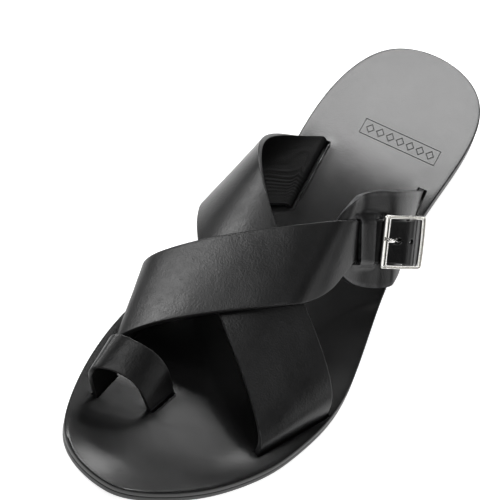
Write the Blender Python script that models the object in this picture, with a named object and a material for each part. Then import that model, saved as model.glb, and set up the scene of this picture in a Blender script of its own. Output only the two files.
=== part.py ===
"""Leather slide sandal, left foot: two-ply sole, low heel, two crossed straps,
toe ring, outer tab and a small centre-bar buckle.

Built in millimetres in the shoemaker's own axes, then placed in metres:
x runs from the inner (medial) side to the outer side, y from toe to heel,
z up from the floor. s is the distance along the sole from the back of the heel.
"""
import bpy
import bmesh
import math
import numpy as np
from mathutils import Vector
from mathutils.bvhtree import BVHTree

for old in list(bpy.data.objects):
    bpy.data.objects.remove(old, do_unlink=True)

# ---------------------------------------------------------------- sizes (mm)
SOLE_LENGTH = 287.0
HEEL_BACK_Y = 145.0          # y of the heel's back before centring
CENTRE_X, CENTRE_Y = -0.33, 1.5   # middle of the whole, so that it stands over its own origin
OUTSOLE_T = 3.2
PLY_GAP = 0.3
INSOLE_T = 3.14
HEEL_LIFT = 9.0              # how far the heel seat's underside is off the floor
ARCH_FROM, ARCH_TO = 185.0, 70.0
SPRING_FROM, SPRING_RISE = 215.0, 5.0
HEEL_BLOCK_LEN = 58.0
HEEL_INSET_TOP, HEEL_INSET_BOTTOM = 1.5, 3.0
STRAP_T = 2.2
TOE_T = 2.0
TAB_T = 2.2
TONGUE_T = 1.9
TONGUE_HALF = 8.65
FRAME_U, FRAME_V, FRAME_MID_V = 20.8, 23.5, -0.4
FIRST_BAR, RAIL, LAST_BAR = 3.4, 1.6, 2.1   # widths of the buckle bars
CENTRE_BAR_U, CENTRE_BAR_H, CENTRE_BAR_R = 13.3, 1.9, 0.9
HOLE_U, HOLE_LEN, HOLE_W = 7.3, 4.4, 3.0
HOLE_V = -1.2                # the row of holes and the prong sit a little rearward of the middle
HOLE2_U, HOLE2_R = 13.3, 1.0
CLEAR = 0.4                  # leather lying over leather

# buckle plane: origin under the middle of the frame's first bar, at the tab's skin
BUCKLE_O = np.array([28.2, 17.3, 32.5])
BUCKLE_U = np.array([0.691, 0.689, -0.221])
BUCKLE_V = np.array([0.372, -0.600, -0.708])

# s, inner edge x, outer edge x
SOLE_ROWS = [
    (10, -23.5, 23.8), (30, -32.5, 33.0), (50, -34.9, 35.1), (75, -34.0, 35.4),
    (100, -31.5, 36.1), (125, -31.1, 38.8), (150, -33.8, 43.9), (175, -40.0, 49.6),
    (190, -44.2, 51.8), (205, -47.1, 51.7), (220, -48.0, 49.1), (235, -47.2, 44.9),
    (250, -44.8, 37.6), (265, -40.6, 26.9), (277, -34.0, 14.0),
]
TOE_TIP_X = -8.0

# t, rear edge x y z, front edge x y z (outer skin of the strap)
STRAP_A = [
    (0.0, -23.0, 66.0, 16.0, -18.0, 25.0, 12.0),
    (0.1, -27.0, 63.0, 16.5, -36.5, 11.5, 13.0),
    (0.2, -33.0, 57.5, 19.0, -45.5, 4.0, 14.5),
    (0.3, -39.0, 46.5, 27.0, -47.5, 1.0, 17.0),
    (0.4, -39.0, 29.0, 40.0, -47.0, -6.0, 20.5),
    (0.5, -31.5, 12.0, 47.0, -38.0, -24.0, 25.5),
    (0.6, -16.5, -4.5, 45.5, -17.0, -47.5, 27.5),
    (0.7, 6.0, -23.5, 39.5, 9.0, -68.0, 23.5),
    (0.8, 32.0, -41.0, 29.0, 27.0, -82.0, 17.0),
    (0.9, 47.5, -52.0, 17.5, 34.5, -89.0, 11.5),
    (1.0, 50.0, -56.5, 7.0, 35.5, -91.5, 7.0),
]
STRAP_B = [
    (0.0, -38.0, -38.0, 7.0, -40.5, -77.0, 7.0),
    (0.1, -50.0, -42.0, 8.5, -42.5, -77.5, 7.5),
    (0.2, -52.0, -40.5, 16.5, -42.5, -78.0, 9.0),
    (0.3, -41.5, -33.0, 27.0, -38.0, -74.5, 14.0),
    (0.4, -23.0, -21.5, 38.0, -25.0, -65.0, 22.5),
    (0.5, -2.0, -9.0, 47.5, -4.0, -51.5, 32.0),
    (0.6, 13.0, 2.5, 51.0, 16.5, -37.0, 37.0),
    (0.7, 19.0, 10.0, 47.0, 28.5, -20.0, 28.0),
    (0.8, 22.5, 16.5, 42.0, 36.0, -5.5, 17.5),
    (0.9, 30.0, 25.0, 39.5, 44.0, 4.0, 13.5),
    (1.0, 40.5, 35.0, 36.0, 53.5, 13.0, 11.0),
]
TOE_LOOP = [
    (0.0, -34.5, -93.0, 8.0, -35.5, -108.0, 8.0),
    (0.167, -40.0, -92.0, 22.5, -39.5, -107.5, 18.5),
    (0.333, -38.0, -90.5, 30.5, -38.5, -106.5, 23.5),
    (0.5, -29.5, -89.0, 31.0, -32.0, -103.5, 24.5),
    (0.667, -20.5, -87.0, 27.5, -21.0, -101.0, 21.0),
    (0.833, -13.5, -86.0, 20.0, -14.0, -101.0, 13.0),
    (1.0, -9.0, -85.5, 7.0, -11.5, -100.0, 7.0),
]
# from the slot up to the buckle plane
TAB = [
    (0.0, 28.9, 69.0, 15.6, 34.4, 31.5, 12.0),
    (0.2, 29.9, 63.7, 21.0, 38.2, 28.8, 14.0),
    (0.4, 30.5, 57.4, 28.0, 40.4, 24.0, 16.2),
    (0.6, 29.8, 49.7, 35.5, 41.7, 19.3, 16.9),
    (0.75, 27.3, 41.6, 42.0, 42.3, 14.3, 17.0),
    (0.88, 24.2, 35.2, 46.0, 41.5, 10.4, 17.1),
    (1.0, 21.4, 31.9, 47.6, 37.3, 6.1, 17.3),
]
# along the buckle: u, height of the tongue's skin over the tab's skin
TONGUE = [
    (-20.0, 2.45), (-16.6, 2.45), (-14.9, 2.0), (-13.3, 1.05), (-11.7, 0.35), (-10.0, 0.1),
    (-7.0, 0.1), (-3.6, 0.1), (-1.8, 0.9), (-0.2, 1.9), (1.2, 2.3), (2.8, 2.45), (5.0, 3.3),
    (8.0, 4.9), (10.8, 5.9), (13.3, 6.1), (15.3, 5.2), (17.0, 3.5), (18.4, 2.0), (20.4, 0.8), (22.0, 0.2),
]
# share of the strap's full width kept, from its rear edge, by t
SHOULDER = [
    (0.0, 1.0), (0.60, 1.0), (0.616, 0.995), (0.647, 0.93), (0.668, 0.86), (0.69, 0.755),
    (0.705, 0.645), (0.727, 0.545), (0.744, 0.495), (0.77, 0.482), (1.05, 0.482),
]
D_CENTRE_U, D_LENGTH, D_HALF, D_MID_V = 2.0, 29.0, 21.45, -0.55   # rounded end of the tab
OPENING = (-17.5, 0.7, 10.1)       # under the bridge: from u, to u, half width
BRIDGE = (-10.8, -2.6, 9.6, 13.0)  # from u, to u, flat half width, foot of the ramps

# slots, rear end x y, front end x y, side on which the strap's inner skin lies
SLOTS = {
    "a_inner": (-23.0, 66.0, -18.0, 25.0),
    "a_outer": (50.0, -56.5, 35.5, -91.5),
    "b_inner": (-38.0, -38.0, -40.5, -77.0),
    "toe_inner": (-34.5, -93.0, -35.5, -108.0),
    "toe_outer": (-9.0, -85.5, -11.5, -100.0),
    "tab": (28.9, 69.0, 34.4, 31.5),
}


# ---------------------------------------------------------------- helpers
def spline(table, q):
    """Natural cubic spline through a table whose first column is the parameter."""
    tab = np.array(table, float)
    t, p = tab[:, 0], tab[:, 1:]
    n = len(t)
    h = np.diff(t)
    a = np.zeros((n, n))
    r = np.zeros((n, p.shape[1]))
    a[0, 0] = a[-1, -1] = 1.0
    for i in range(1, n - 1):
        a[i, i - 1], a[i, i], a[i, i + 1] = h[i - 1], 2 * (h[i - 1] + h[i]), h[i]
        r[i] = 6 * ((p[i + 1] - p[i]) / h[i] - (p[i] - p[i - 1]) / h[i - 1])
    m = np.linalg.solve(a, r)
    q = np.atleast_1d(np.asarray(q, float))
    k = np.clip(np.searchsorted(t, q) - 1, 0, n - 2)
    d0, d1 = (t[k + 1] - q)[:, None], (q - t[k])[:, None]
    hk = h[k][:, None]
    return (m[k] * d0 ** 3 + m[k + 1] * d1 ** 3) / (6 * hk) + \
        (p[k] / hk - m[k] * hk / 6) * d0 + (p[k + 1] / hk - m[k + 1] * hk / 6) * d1


def lift(y):
    """Height of the sole's underside over the floor."""
    s = HEEL_BACK_Y - np.asarray(y, float)
    t = np.clip((ARCH_FROM - s) / (ARCH_FROM - ARCH_TO), 0, 1)
    k = np.clip((s - SPRING_FROM) / 75.0, 0, 1)
    return HEEL_LIFT * t * t * (3 - 2 * t) + SPRING_RISE * k ** 1.8


def seat(y):
    """Height of the insole's upper face."""
    return lift(y) + OUTSOLE_T + PLY_GAP + INSOLE_T


def sole_edges(theta):
    """Outline points at parameter theta, 0 at the heel's back, pi at the toe's tip."""
    rows = [(0.0, 0.0, 0.0)]
    for s, xi, xo in SOLE_ROWS:
        rows.append((math.acos(1 - 2 * s / SOLE_LENGTH), xi, xo))
    rows.append((math.pi, TOE_TIP_X, TOE_TIP_X))
    x = spline(rows, theta)
    s = SOLE_LENGTH * (1 - np.cos(theta)) / 2
    return x[:, 0], x[:, 1], HEEL_BACK_Y - s


def place(p):
    q = np.array(p, float)
    q[..., 0] -= CENTRE_X
    q[..., 1] -= CENTRE_Y
    return q * 0.001


def material(name, colour, rough, metal):
    mat = bpy.data.materials.new(name)
    mat.use_nodes = True
    b = mat.node_tree.nodes["Principled BSDF"]
    b.inputs["Base Color"].default_value = (*colour, 1)
    b.inputs["Roughness"].default_value = rough
    b.inputs["Metallic"].default_value = metal
    return mat


def add_object(name, bm, mat=None, guide=False, smooth=True):
    bmesh.ops.recalc_face_normals(bm, faces=bm.faces)
    mesh = bpy.data.meshes.new(name)
    bm.to_mesh(mesh)
    bm.free()
    ob = bpy.data.objects.new(name, mesh)
    bpy.context.scene.collection.objects.link(ob)
    if mat:
        mesh.materials.append(mat)
    if smooth:
        mesh.shade_smooth()
        mesh.set_sharp_from_angle(angle=math.radians(35))
    if guide:
        ob.hide_render = True
        ob.display_type = "WIRE"
    return ob


def boolean(ob, other, op):
    mod = ob.modifiers.new(other.name, "BOOLEAN")
    mod.operation = op
    mod.solver = "EXACT"
    mod.object = other


def shell(upper, lower):
    """Closed body between two grids of points of the same size."""
    n, m = upper.shape[:2]
    bm = bmesh.new()
    a = [[bm.verts.new(place(upper[i, j])) for j in range(m)] for i in range(n)]
    b = [[bm.verts.new(place(lower[i, j])) for j in range(m)] for i in range(n)]
    for i in range(n - 1):
        for j in range(m - 1):
            bm.faces.new((a[i][j], a[i][j + 1], a[i + 1][j + 1], a[i + 1][j]))
            bm.faces.new((b[i][j], b[i + 1][j], b[i + 1][j + 1], b[i][j + 1]))
    for i in range(n - 1):
        bm.faces.new((a[i][0], a[i + 1][0], b[i + 1][0], b[i][0]))
        bm.faces.new((a[i][-1], b[i][-1], b[i + 1][-1], a[i + 1][-1]))
    for j in range(m - 1):
        bm.faces.new((a[0][j], b[0][j], b[0][j + 1], a[0][j + 1]))
        bm.faces.new((a[-1][j], a[-1][j + 1], b[-1][j + 1], b[-1][j]))
    return bm


def normals(grid):
    """Unit normals of a grid, rows by averaged segment direction, with a mitre factor."""
    seg = np.diff(grid, axis=0)
    seg /= np.linalg.norm(seg, axis=2, keepdims=True)
    d = np.concatenate([seg[:1], seg[:-1] + seg[1:], seg[-1:]])
    half = np.concatenate([np.ones_like(seg[:1, :, :1]),
                           np.linalg.norm(seg[:-1] + seg[1:], axis=2, keepdims=True) / 2,
                           np.ones_like(seg[:1, :, :1])])
    d /= np.linalg.norm(d, axis=2, keepdims=True)
    c = np.gradient(grid, axis=1)
    nrm = np.cross(d, c)
    nrm /= np.linalg.norm(nrm, axis=2, keepdims=True)
    return nrm, 1 / np.clip(half, 0.75, 1)


def ruled(rear, front, share, columns):
    w = np.linspace(0, 1, columns)[None, :, None] * share[:, None, None]
    return rear[:, None] * (1 - w) + front[:, None] * w


def rest_on_seat(grid, gap):
    """Keep a strap's skin clear of the insole where it lies over it."""
    th = np.linspace(0, math.pi, 400)
    xi, xo, y = sole_edges(th)
    inner = np.interp(-grid[..., 1], -y, xi) - 1.5
    outer = np.interp(-grid[..., 1], -y, xo) + 1.5
    over = (grid[..., 0] > inner) & (grid[..., 0] < outer)
    g = grid.copy()
    need = seat(g[..., 1]) + gap
    g[..., 2] = np.where(over, np.maximum(g[..., 2], need), g[..., 2])
    return g


def into_slot(row):
    """Two rows that carry a strap's end straight down its slot."""
    lip, foot = row.copy(), row.copy()
    lip[:, 2] = seat(row[:, 1]) - 0.8
    foot[:, 2] = lift(row[:, 1]) + OUTSOLE_T + 0.4
    return lip[None], foot[None]


# ---------------------------------------------------------------- materials
blacks = {
    "outsole": (0.018, 0.017, 0.017), "insole": (0.022, 0.022, 0.023),
    "heel": (0.014, 0.013, 0.013), "upper": (0.012, 0.012, 0.013),
    "toe_loop": (0.012, 0.012, 0.013), "buckle_tab": (0.013, 0.013, 0.014),
}
mats = {k: material(k + "_leather", c, 0.45, 0.0) for k, c in blacks.items()}
mats["heel"] = material("heel_stack", blacks["heel"], 0.6, 0.0)
mats["buckle_frame"] = material("frame_nickel", (0.72, 0.71, 0.69), 0.16, 1.0)
mats["buckle_prong"] = material("prong_nickel", (0.70, 0.69, 0.67), 0.2, 1.0)

# ---------------------------------------------------------------- sole plies
STATIONS = 46
theta = np.linspace(0.045, math.pi - 0.045, STATIONS)
xi, xo, ys = sole_edges(theta)


def ply(z0, z1, columns=6):
    c = np.linspace(0, 1, columns)
    x = xi[:, None] * (1 - c) + xo[:, None] * c
    y = np.repeat(ys[:, None], columns, axis=1)
    low = np.stack([x, y, lift(y) + z0], 2)
    top = np.stack([x, y, lift(y) + z1], 2)
    return shell(top, low)


outsole = add_object("outsole", ply(0.0, OUTSOLE_T), mats["outsole"])
insole = add_object("insole", ply(OUTSOLE_T + PLY_GAP, OUTSOLE_T + PLY_GAP + INSOLE_T), mats["insole"])

# heel block: the outline stepped in, tapering to the floor
th = np.linspace(0.12, math.acos(1 - 2 * HEEL_BLOCK_LEN / SOLE_LENGTH), 14)
hi, ho, hy = sole_edges(th)


def stepped_in(x, y, step, side):
    p = np.stack([x, y], 1)
    d = np.gradient(p, axis=0)
    d /= np.linalg.norm(d, axis=1, keepdims=True)
    nrm = np.stack([-d[:, 1], d[:, 0]], 1) * side
    return p + nrm * step


def heel_grid(step, z, back):
    left, right = stepped_in(hi, hy, step, 1), stepped_in(ho, hy, step, -1)
    left[-1, 1] = right[-1, 1] = hy[-1] + back
    c = np.linspace(0, 1, 4)[None, :, None]
    g = left[:, None] * (1 - c) + right[:, None] * c
    return np.concatenate([g, np.full(g.shape[:2] + (1,), z)], 2)


heel = add_object("heel", shell(heel_grid(HEEL_INSET_TOP, HEEL_LIFT - 0.3, 0.0),
                                heel_grid(HEEL_INSET_BOTTOM, 0.0, 2.0)), mats["heel"])

# ---------------------------------------------------------------- straps
def thicken(grid, thick, down=None):
    """Inner skin of a strap: towards the foot, or away from the given direction."""
    nrm, mitre = normals(grid)
    if down is None:
        mid = grid.reshape(-1, 3).mean(axis=0)
        sign = np.sign(np.sum(nrm * (mid - grid)))
    else:
        sign = -np.sign(np.sum(nrm @ down))
    return grid + sign * nrm * mitre * thick


def strap(table, rows, columns, thick):
    p = spline(table, np.linspace(0, 1, rows))
    grid = rest_on_seat(ruled(p[:, :3], p[:, 3:], np.ones(rows), columns), CLEAR)
    lip0, foot0 = into_slot(grid[0])
    lip1, foot1 = into_slot(grid[-1])
    grid = np.concatenate([foot0, lip0, grid, lip1, foot1])
    inner = thicken(grid, thick)
    for k in (0, -1):
        inner[k, :, 2] = grid[k, :, 2]
    return grid, inner


a_out, a_in = strap(STRAP_A, 42, 6, STRAP_T)
upper = add_object("upper", shell(a_out, a_in), mats["upper"])

# buckle plane
U = BUCKLE_U / np.linalg.norm(BUCKLE_U)
V = BUCKLE_V - U * np.dot(BUCKLE_V, U)
V /= np.linalg.norm(V)
N = np.cross(U, V)
N = N if N[2] > 0 else -N
SKIN = 2.45                      # the strap's skin over the tab's skin


def local(u, v, h):
    u, v, h = (np.asarray(k, float)[..., None] for k in (u, v, h))
    return BUCKLE_O + U * u + V * v + N * h


def to_local(p):
    d = p - BUCKLE_O
    return d @ U, d @ V, d @ N


# the strap with the tongue, carried over and under the tab by its height table
fine_t = np.linspace(0.55, 1.06, 240)
pf = spline(STRAP_B, fine_t)
mid_u = to_local(pf[:, :3] * 0.76 + pf[:, 3:] * 0.24)[0]
u_rows = np.concatenate([np.linspace(-20.0, -9.5, 12), np.linspace(-7.0, -3.6, 3),
                         np.linspace(-2.8, 3.0, 8), np.linspace(4.2, 22.0, 16)])
t_rows = np.concatenate([np.linspace(0, np.interp(-22.0, mid_u, fine_t), 34),
                         np.interp(u_rows, mid_u, fine_t)])
p = spline(STRAP_B, t_rows)
share = np.array([np.interp(t, *zip(*SHOULDER)) for t in t_rows])
grid = rest_on_seat(ruled(p[:, :3], p[:, 3:], share, 7), CLEAR)
gu, gv, gh = to_local(grid)
height = np.where(gu > -20.0, np.clip(spline(TONGUE, gu.ravel())[:, 0].reshape(gu.shape), -1, 7), SKIN)
on_tongue = (t_rows > 0.6)[:, None]
grid = grid + np.where(on_tongue, height - SKIN, 0.0)[..., None] * N
grid = grid - 0.27 * np.clip((t_rows - 0.66) / 0.08, 0, 1)[:, None, None] * V
# the crossing: lifted a little over the lower strap, its underside padded down to it
w = np.linspace(0, 1, 7)[None, :] * share[:, None]
near = np.exp(-((t_rows[:, None] - 0.47) * 170 / 11.0) ** 2 - ((w - 0.5) * 36 / 11.0) ** 2)
nrm, _ = normals(grid)
nrm = nrm * np.sign(nrm[..., 2:3].mean())
grid = grid + nrm * (0.45 * np.exp(-((t_rows - 0.45) / 0.14) ** 4))[:, None, None]
lip0, foot0 = into_slot(grid[0])
grid = np.concatenate([foot0, lip0, grid])
gauge = np.full(grid.shape[:2], STRAP_T)
gauge[2:] += 1.9 * near
gauge[2:] -= (STRAP_T - TONGUE_T) * np.clip((t_rows - 0.66) / 0.06, 0, 1)[:, None]
inner = thicken(grid, gauge[..., None], None)
inner[0, :, 2] = grid[0, :, 2]
strap_b = add_object("strap_with_tongue", shell(grid, inner), mats["upper"], guide=True)


def cylinder(name, centre, axis, radius, half, sides=14, stretch=(1.0, 1.0), along=None):
    """Closed round or oval bar, used as a cutter or as a piece."""
    axis = axis / np.linalg.norm(axis)
    e = along if along is not None else np.cross(axis, [0.0, 0.0, 1.0])
    e = e / np.linalg.norm(e)
    f = np.cross(axis, e)
    bm = bmesh.new()
    rings = []
    for k in (-half, half):
        rings.append([bm.verts.new(place(centre + axis * k + e * radius * stretch[0] * math.cos(a)
                                         + f * radius * stretch[1] * math.sin(a)))
                      for a in np.linspace(0, 2 * math.pi, sides, endpoint=False)])
    bm.faces.new(rings[0])
    bm.faces.new(rings[1])
    for i in range(sides):
        j = (i + 1) % sides
        bm.faces.new((rings[0][i], rings[0][j], rings[1][j], rings[1][i]))
    return bm


def hole_height(u):
    return float(spline(TONGUE, u)[0, 0]) - TONGUE_T / 2


hole_1 = add_object("hole_first", cylinder("h", local(HOLE_U, HOLE_V, hole_height(HOLE_U)), N, HOLE_W / 2, 4.5, 14,
                                           (HOLE_LEN / HOLE_W, 1.0), U), guide=True)
hole_2 = add_object("hole_second", cylinder("h", local(HOLE2_U, HOLE_V, hole_height(HOLE2_U)), N, HOLE2_R, 2.6, 10), guide=True)
boolean(upper, strap_b, "UNION")
boolean(upper, hole_1, "DIFFERENCE")
boolean(upper, hole_2, "DIFFERENCE")

t_out, t_in = strap(TOE_LOOP, 34, 4, TOE_T)
toe_loop = add_object("toe_loop", shell(t_out, t_in), mats["toe_loop"])

# ---------------------------------------------------------------- tab with bridge and chapes
ruling_r, ruling_f = to_local(pf[:, :3]), to_local(pf[:, 3:])


def sheet_height(u, v):
    """Height over the buckle plane of the tab's skin, which follows the strap above it."""
    w = (v - ruling_r[1]) / (ruling_f[1] - ruling_r[1])
    uu = ruling_r[0] + w * (ruling_f[0] - ruling_r[0])
    hh = ruling_r[2] + w * (ruling_f[2] - ruling_r[2])
    hh = hh - (SKIN + 0.15) * np.sqrt(1 + np.gradient(hh, uu) ** 2)
    flat = 1 - min(1.0, max(0.0, (u + 4.0) / 5.0))
    return float(np.interp(u, uu, hh)) * flat


p = spline(TAB, np.linspace(0, 1, 15))
lower_rows = ruled(p[:, :3], p[:, 3:], np.ones(15), 8)
d_rows = []
for a in np.linspace(0.05, math.pi / 2 - 0.10, 13):
    u = D_CENTRE_U - D_LENGTH * math.sin(a)
    half = D_HALF * math.cos(a)
    vs = np.linspace(D_MID_V - half, D_MID_V + half, 8)
    d_rows.append([local(u, v, sheet_height(u, v)) for v in vs])
tab_grid = np.concatenate([lower_rows, np.array(d_rows)])
tab_grid = rest_on_seat(tab_grid, CLEAR)
lip0, foot0 = into_slot(tab_grid[0])
tab_grid = np.concatenate([foot0, lip0, tab_grid])
tab_in = thicken(tab_grid, TAB_T, N)
tab_in[0, :, 2] = tab_grid[0, :, 2]
tab = add_object("buckle_tab", shell(tab_grid, tab_in), mats["buckle_tab"])

# opening under the bridge
u0, u1, vh = OPENING
bm = bmesh.new()
ring = []
for h in (-8.0, 9.0):
    ring.append([bm.verts.new(place(local(u, v, h))) for u, v in ((u0, -vh), (u1, -vh), (u1, vh), (u0, vh))])
bm.faces.new(ring[0])
bm.faces.new(ring[1])
for i in range(4):
    j = (i + 1) % 4
    bm.faces.new((ring[0][i], ring[0][j], ring[1][j], ring[1][i]))
opening = add_object("tab_opening", bm, guide=True, smooth=False)

# bridge, bowed up over the tongue and let into the tab at both ends
b0, b1, flat_v, foot_v = BRIDGE
rows = []
for v, h in ((-14.8, -0.9), (-foot_v, -0.1), (-12.1, 0.8), (-11.0, 2.1), (-flat_v, 2.95), (-6.0, 3.15),
             (0.0, 3.2), (6.0, 3.15), (flat_v, 2.95), (11.0, 2.1), (12.1, 0.8), (foot_v, -0.1), (14.8, -0.9)):
    slant = 0.12 * v
    us = (b0 + slant, b0 + 2.5 + slant, (b0 + b1) / 2, b1 + slant / 2)
    rows.append([local(u, v, h + sheet_height(u, v)) for u in us])
bridge_grid = np.array(rows)
bridge_in = bridge_grid - N * 1.9
bridge_in[0] = bridge_grid[0] - N * 0.7
bridge_in[-1] = bridge_grid[-1] - N * 0.7
bridge_in[1] = bridge_grid[1] - N * 1.4
bridge_in[-2] = bridge_grid[-2] - N * 1.4
bridge = add_object("tab_bridge", shell(bridge_grid, bridge_in), guide=True)
boolean(tab, opening, "DIFFERENCE")
boolean(tab, bridge, "UNION")

# two narrow leather chapes that hold the buckle's centre bar on the tab
tab_tree = BVHTree.FromPolygons(
    [Vector(q) for q in tab_grid.reshape(-1, 3)],
    [(i * 8 + j, i * 8 + j + 1, (i + 1) * 8 + j + 1, (i + 1) * 8 + j)
     for i in range(len(tab_grid) - 1) for j in range(7)])


def tab_height(u, v):
    top = Vector(local(u, v, 12.0))
    hit = tab_tree.ray_cast(top, Vector(-N))
    return 12.0 - hit[3]


CHAPE_R_OUT, CHAPE_R_IN = 1.95, 1.25
for side, (v0, v1) in (("rear", (-7.2, -3.6)), ("front", (3.6, 7.2))):
    bm = bmesh.new()
    rings = []
    for v in (v0, v1):
        prof = [(CENTRE_BAR_U + CHAPE_R_OUT * math.cos(a), CENTRE_BAR_H + CHAPE_R_OUT * math.sin(a))
                for a in np.linspace(0, math.pi, 9)]
        prof = [(CENTRE_BAR_U + CHAPE_R_OUT, tab_height(CENTRE_BAR_U + CHAPE_R_OUT, v) - 1.2)] + prof
        prof.append((CENTRE_BAR_U - CHAPE_R_OUT, tab_height(CENTRE_BAR_U - CHAPE_R_OUT, v) - 1.2))
        rings.append([bm.verts.new(place(local(u, v, h))) for u, h in prof])
    bm.faces.new(rings[0])
    bm.faces.new(rings[1])
    for i in range(len(rings[0])):
        j = (i + 1) % len(rings[0])
        bm.faces.new((rings[0][i], rings[0][j], rings[1][j], rings[1][i]))
    chape = add_object("chape_" + side, bm, guide=True)
    boolean(tab, chape, "UNION")
bar_hole = add_object("chape_bore", cylinder("b", local(CENTRE_BAR_U, 0, CENTRE_BAR_H), V, CHAPE_R_IN, 9.0, 12), guide=True)
boolean(tab, bar_hole, "DIFFERENCE")


# ---------------------------------------------------------------- buckle frame
def rounded_rect(hu, hv, r, steps=4):
    pts = []
    for cu, cv, a0 in ((hu - r, hv - r, 0), (-(hu - r), hv - r, 90), (-(hu - r), -(hv - r), 180), (hu - r, -(hv - r), 270)):
        for k in range(steps + 1):
            a = math.radians(a0 + 90 * k / steps)
            pts.append((cu + r * math.cos(a), cv + r * math.sin(a)))
    return pts


section = [(0.0, 0.4), (0.0, 1.5), (0.2, 1.9), (0.8, 1.9), (1.0, 1.5), (1.0, 0.4), (0.8, 0.0), (0.2, 0.0)]
bm = bmesh.new()
loops = []
for inset, z in section:
    u0, u1 = FIRST_BAR * inset, FRAME_U - LAST_BAR * inset
    hu, hv = (u1 - u0) / 2, FRAME_V / 2 - RAIL * inset
    ring = []
    for du, dv in rounded_rect(hu, hv, 2.4 - 1.6 * inset):
        k = ((u0 + u1) / 2 + du) / (FRAME_U / 2) - 1
        arch = 0.45 * (1 - k * k) - 0.1 * (k + 1)
        ring.append(bm.verts.new(place(local((u0 + u1) / 2 + du, FRAME_MID_V + dv, 2.75 + z + arch))))
    loops.append(ring)
for k in range(len(loops)):
    a, b = loops[k], loops[(k + 1) % len(loops)]
    for i in range(len(a)):
        j = (i + 1) % len(a)
        bm.faces.new((a[i], a[j], b[j], b[i]))
frame = add_object("buckle_frame", bm, mats["buckle_frame"])


def tube(path, half_w, half_t, side, sides=8):
    """Rounded bar along a path; side is the width direction."""
    path = np.array(path, float)
    d = np.gradient(path, axis=0)
    d /= np.linalg.norm(d, axis=1, keepdims=True)
    bm = bmesh.new()
    rings = []
    for k, (q, t) in enumerate(zip(path, d)):
        up = np.cross(t, side)
        up /= np.linalg.norm(up)
        hw = half_w[k] if hasattr(half_w, "__len__") else half_w
        ht = half_t[k] if hasattr(half_t, "__len__") else half_t
        ring = []
        for i in range(sides):
            a = 2 * math.pi * (i + 0.5) / sides
            ring.append(bm.verts.new(place(q + side * hw * math.cos(a) + up * ht * math.sin(a))))
        rings.append(ring)
    bm.faces.new(rings[0])
    bm.faces.new(rings[-1])
    for a, b in zip(rings[:-1], rings[1:]):
        for i in range(sides):
            j = (i + 1) % sides
            bm.faces.new((a[i], a[j], b[j], b[i]))
    return bm


bar_path = [local(CENTRE_BAR_U, FRAME_MID_V + v, h) for v, h in
            ((-10.9, 3.9), (-10.8, 2.9), (-10.2, 2.1), (-9.2, CENTRE_BAR_H), (-4.0, CENTRE_BAR_H), (0.0, CENTRE_BAR_H),
             (4.0, CENTRE_BAR_H), (9.2, CENTRE_BAR_H), (10.2, 2.1), (10.8, 2.9), (10.9, 3.9))]
centre_bar = add_object("centre_bar", tube(bar_path, CENTRE_BAR_R, CENTRE_BAR_R, U, 10), guide=True)
boolean(frame, centre_bar, "UNION")

# ---------------------------------------------------------------- prong
blade = [(11.75, 2.3, 0.8), (10.6, 2.2, 0.9), (9.2, 2.3, 0.95), (8.2, 2.85, 0.95), (7.2, 3.75, 0.95), (6.3, 4.65, 0.95),
         (5.4, 5.3, 0.95), (4.4, 5.65, 0.92), (3.2, 5.75, 0.9), (2.0, 5.68, 0.85), (0.9, 5.55, 0.78)]
prong = add_object("buckle_prong", tube([local(u, HOLE_V, h) for u, h, _ in blade], [w for _, _, w in blade], 0.5, V, 8),
                   mats["buckle_prong"])
RING_IN, RING_OUT = 1.2, 1.9
bm = bmesh.new()
loops = []
for r, v in ((RING_IN, HOLE_V - 0.95), (RING_OUT, HOLE_V - 0.95), (RING_OUT, HOLE_V + 0.95), (RING_IN, HOLE_V + 0.95)):
    loops.append([bm.verts.new(place(local(CENTRE_BAR_U + r * math.cos(a), v, CENTRE_BAR_H + r * math.sin(a))))
                  for a in np.linspace(0, 2 * math.pi, 16, endpoint=False)])
for k in range(4):
    a, b = loops[k], loops[(k + 1) % 4]
    for i in range(16):
        j = (i + 1) % 16
        bm.faces.new((a[i], a[j], b[j], b[i]))
ring_ob = add_object("prong_ring", bm, guide=True)
boolean(prong, ring_ob, "UNION")


# ---------------------------------------------------------------- slots in the insole
def slot(name, x0, y0, x1, y1, toward, strap_t, gap_in, gap_out, over=0.6):
    """Upright slot along the strap's end; toward is the side of the strap's inner skin."""
    a, b = np.array([x0, y0]), np.array([x1, y1])
    d = (b - a) / np.linalg.norm(b - a)
    n = np.array([-d[1], d[0]])
    n = n if np.dot(n, toward) > 0 else -n
    c0, c1 = a - d * over + n * (strap_t + gap_in), b + d * over + n * (strap_t + gap_in)
    c2, c3 = b + d * over - n * gap_out, a - d * over - n * gap_out
    bm = bmesh.new()
    rings = []
    for z in (-5.0, 30.0):
        rings.append([bm.verts.new(place([*q, z])) for q in (c0, c1, c2, c3)])
    bm.faces.new(rings[0])
    bm.faces.new(rings[1])
    for i in range(4):
        j = (i + 1) % 4
        bm.faces.new((rings[0][i], rings[0][j], rings[1][j], rings[1][i]))
    ob = add_object("slot_" + name, bm, guide=True, smooth=False)
    boolean(insole, ob, "DIFFERENCE")


slot("a_inner", *SLOTS["a_inner"], (1, 0), STRAP_T, 0.9, 0.45)
slot("a_outer", *SLOTS["a_outer"], (-1, 0), STRAP_T, 0.4, 1.0)
slot("b_inner", *SLOTS["b_inner"], (1, 0), STRAP_T, 0.9, 0.45)
slot("toe_inner", *SLOTS["toe_inner"], (1, 0), TOE_T, 0.5, 0.6)
slot("toe_outer", *SLOTS["toe_outer"], (-1, 0), TOE_T, 0.7, 0.9)
slot("tab", *SLOTS["tab"], (-1, 0), TAB_T, 0.5, 1.3)
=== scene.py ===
"""Black leather slide sandal, left foot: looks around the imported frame."""
import math

import bmesh
import bpy
import numpy as np
from mathutils import Matrix, Vector


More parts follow.
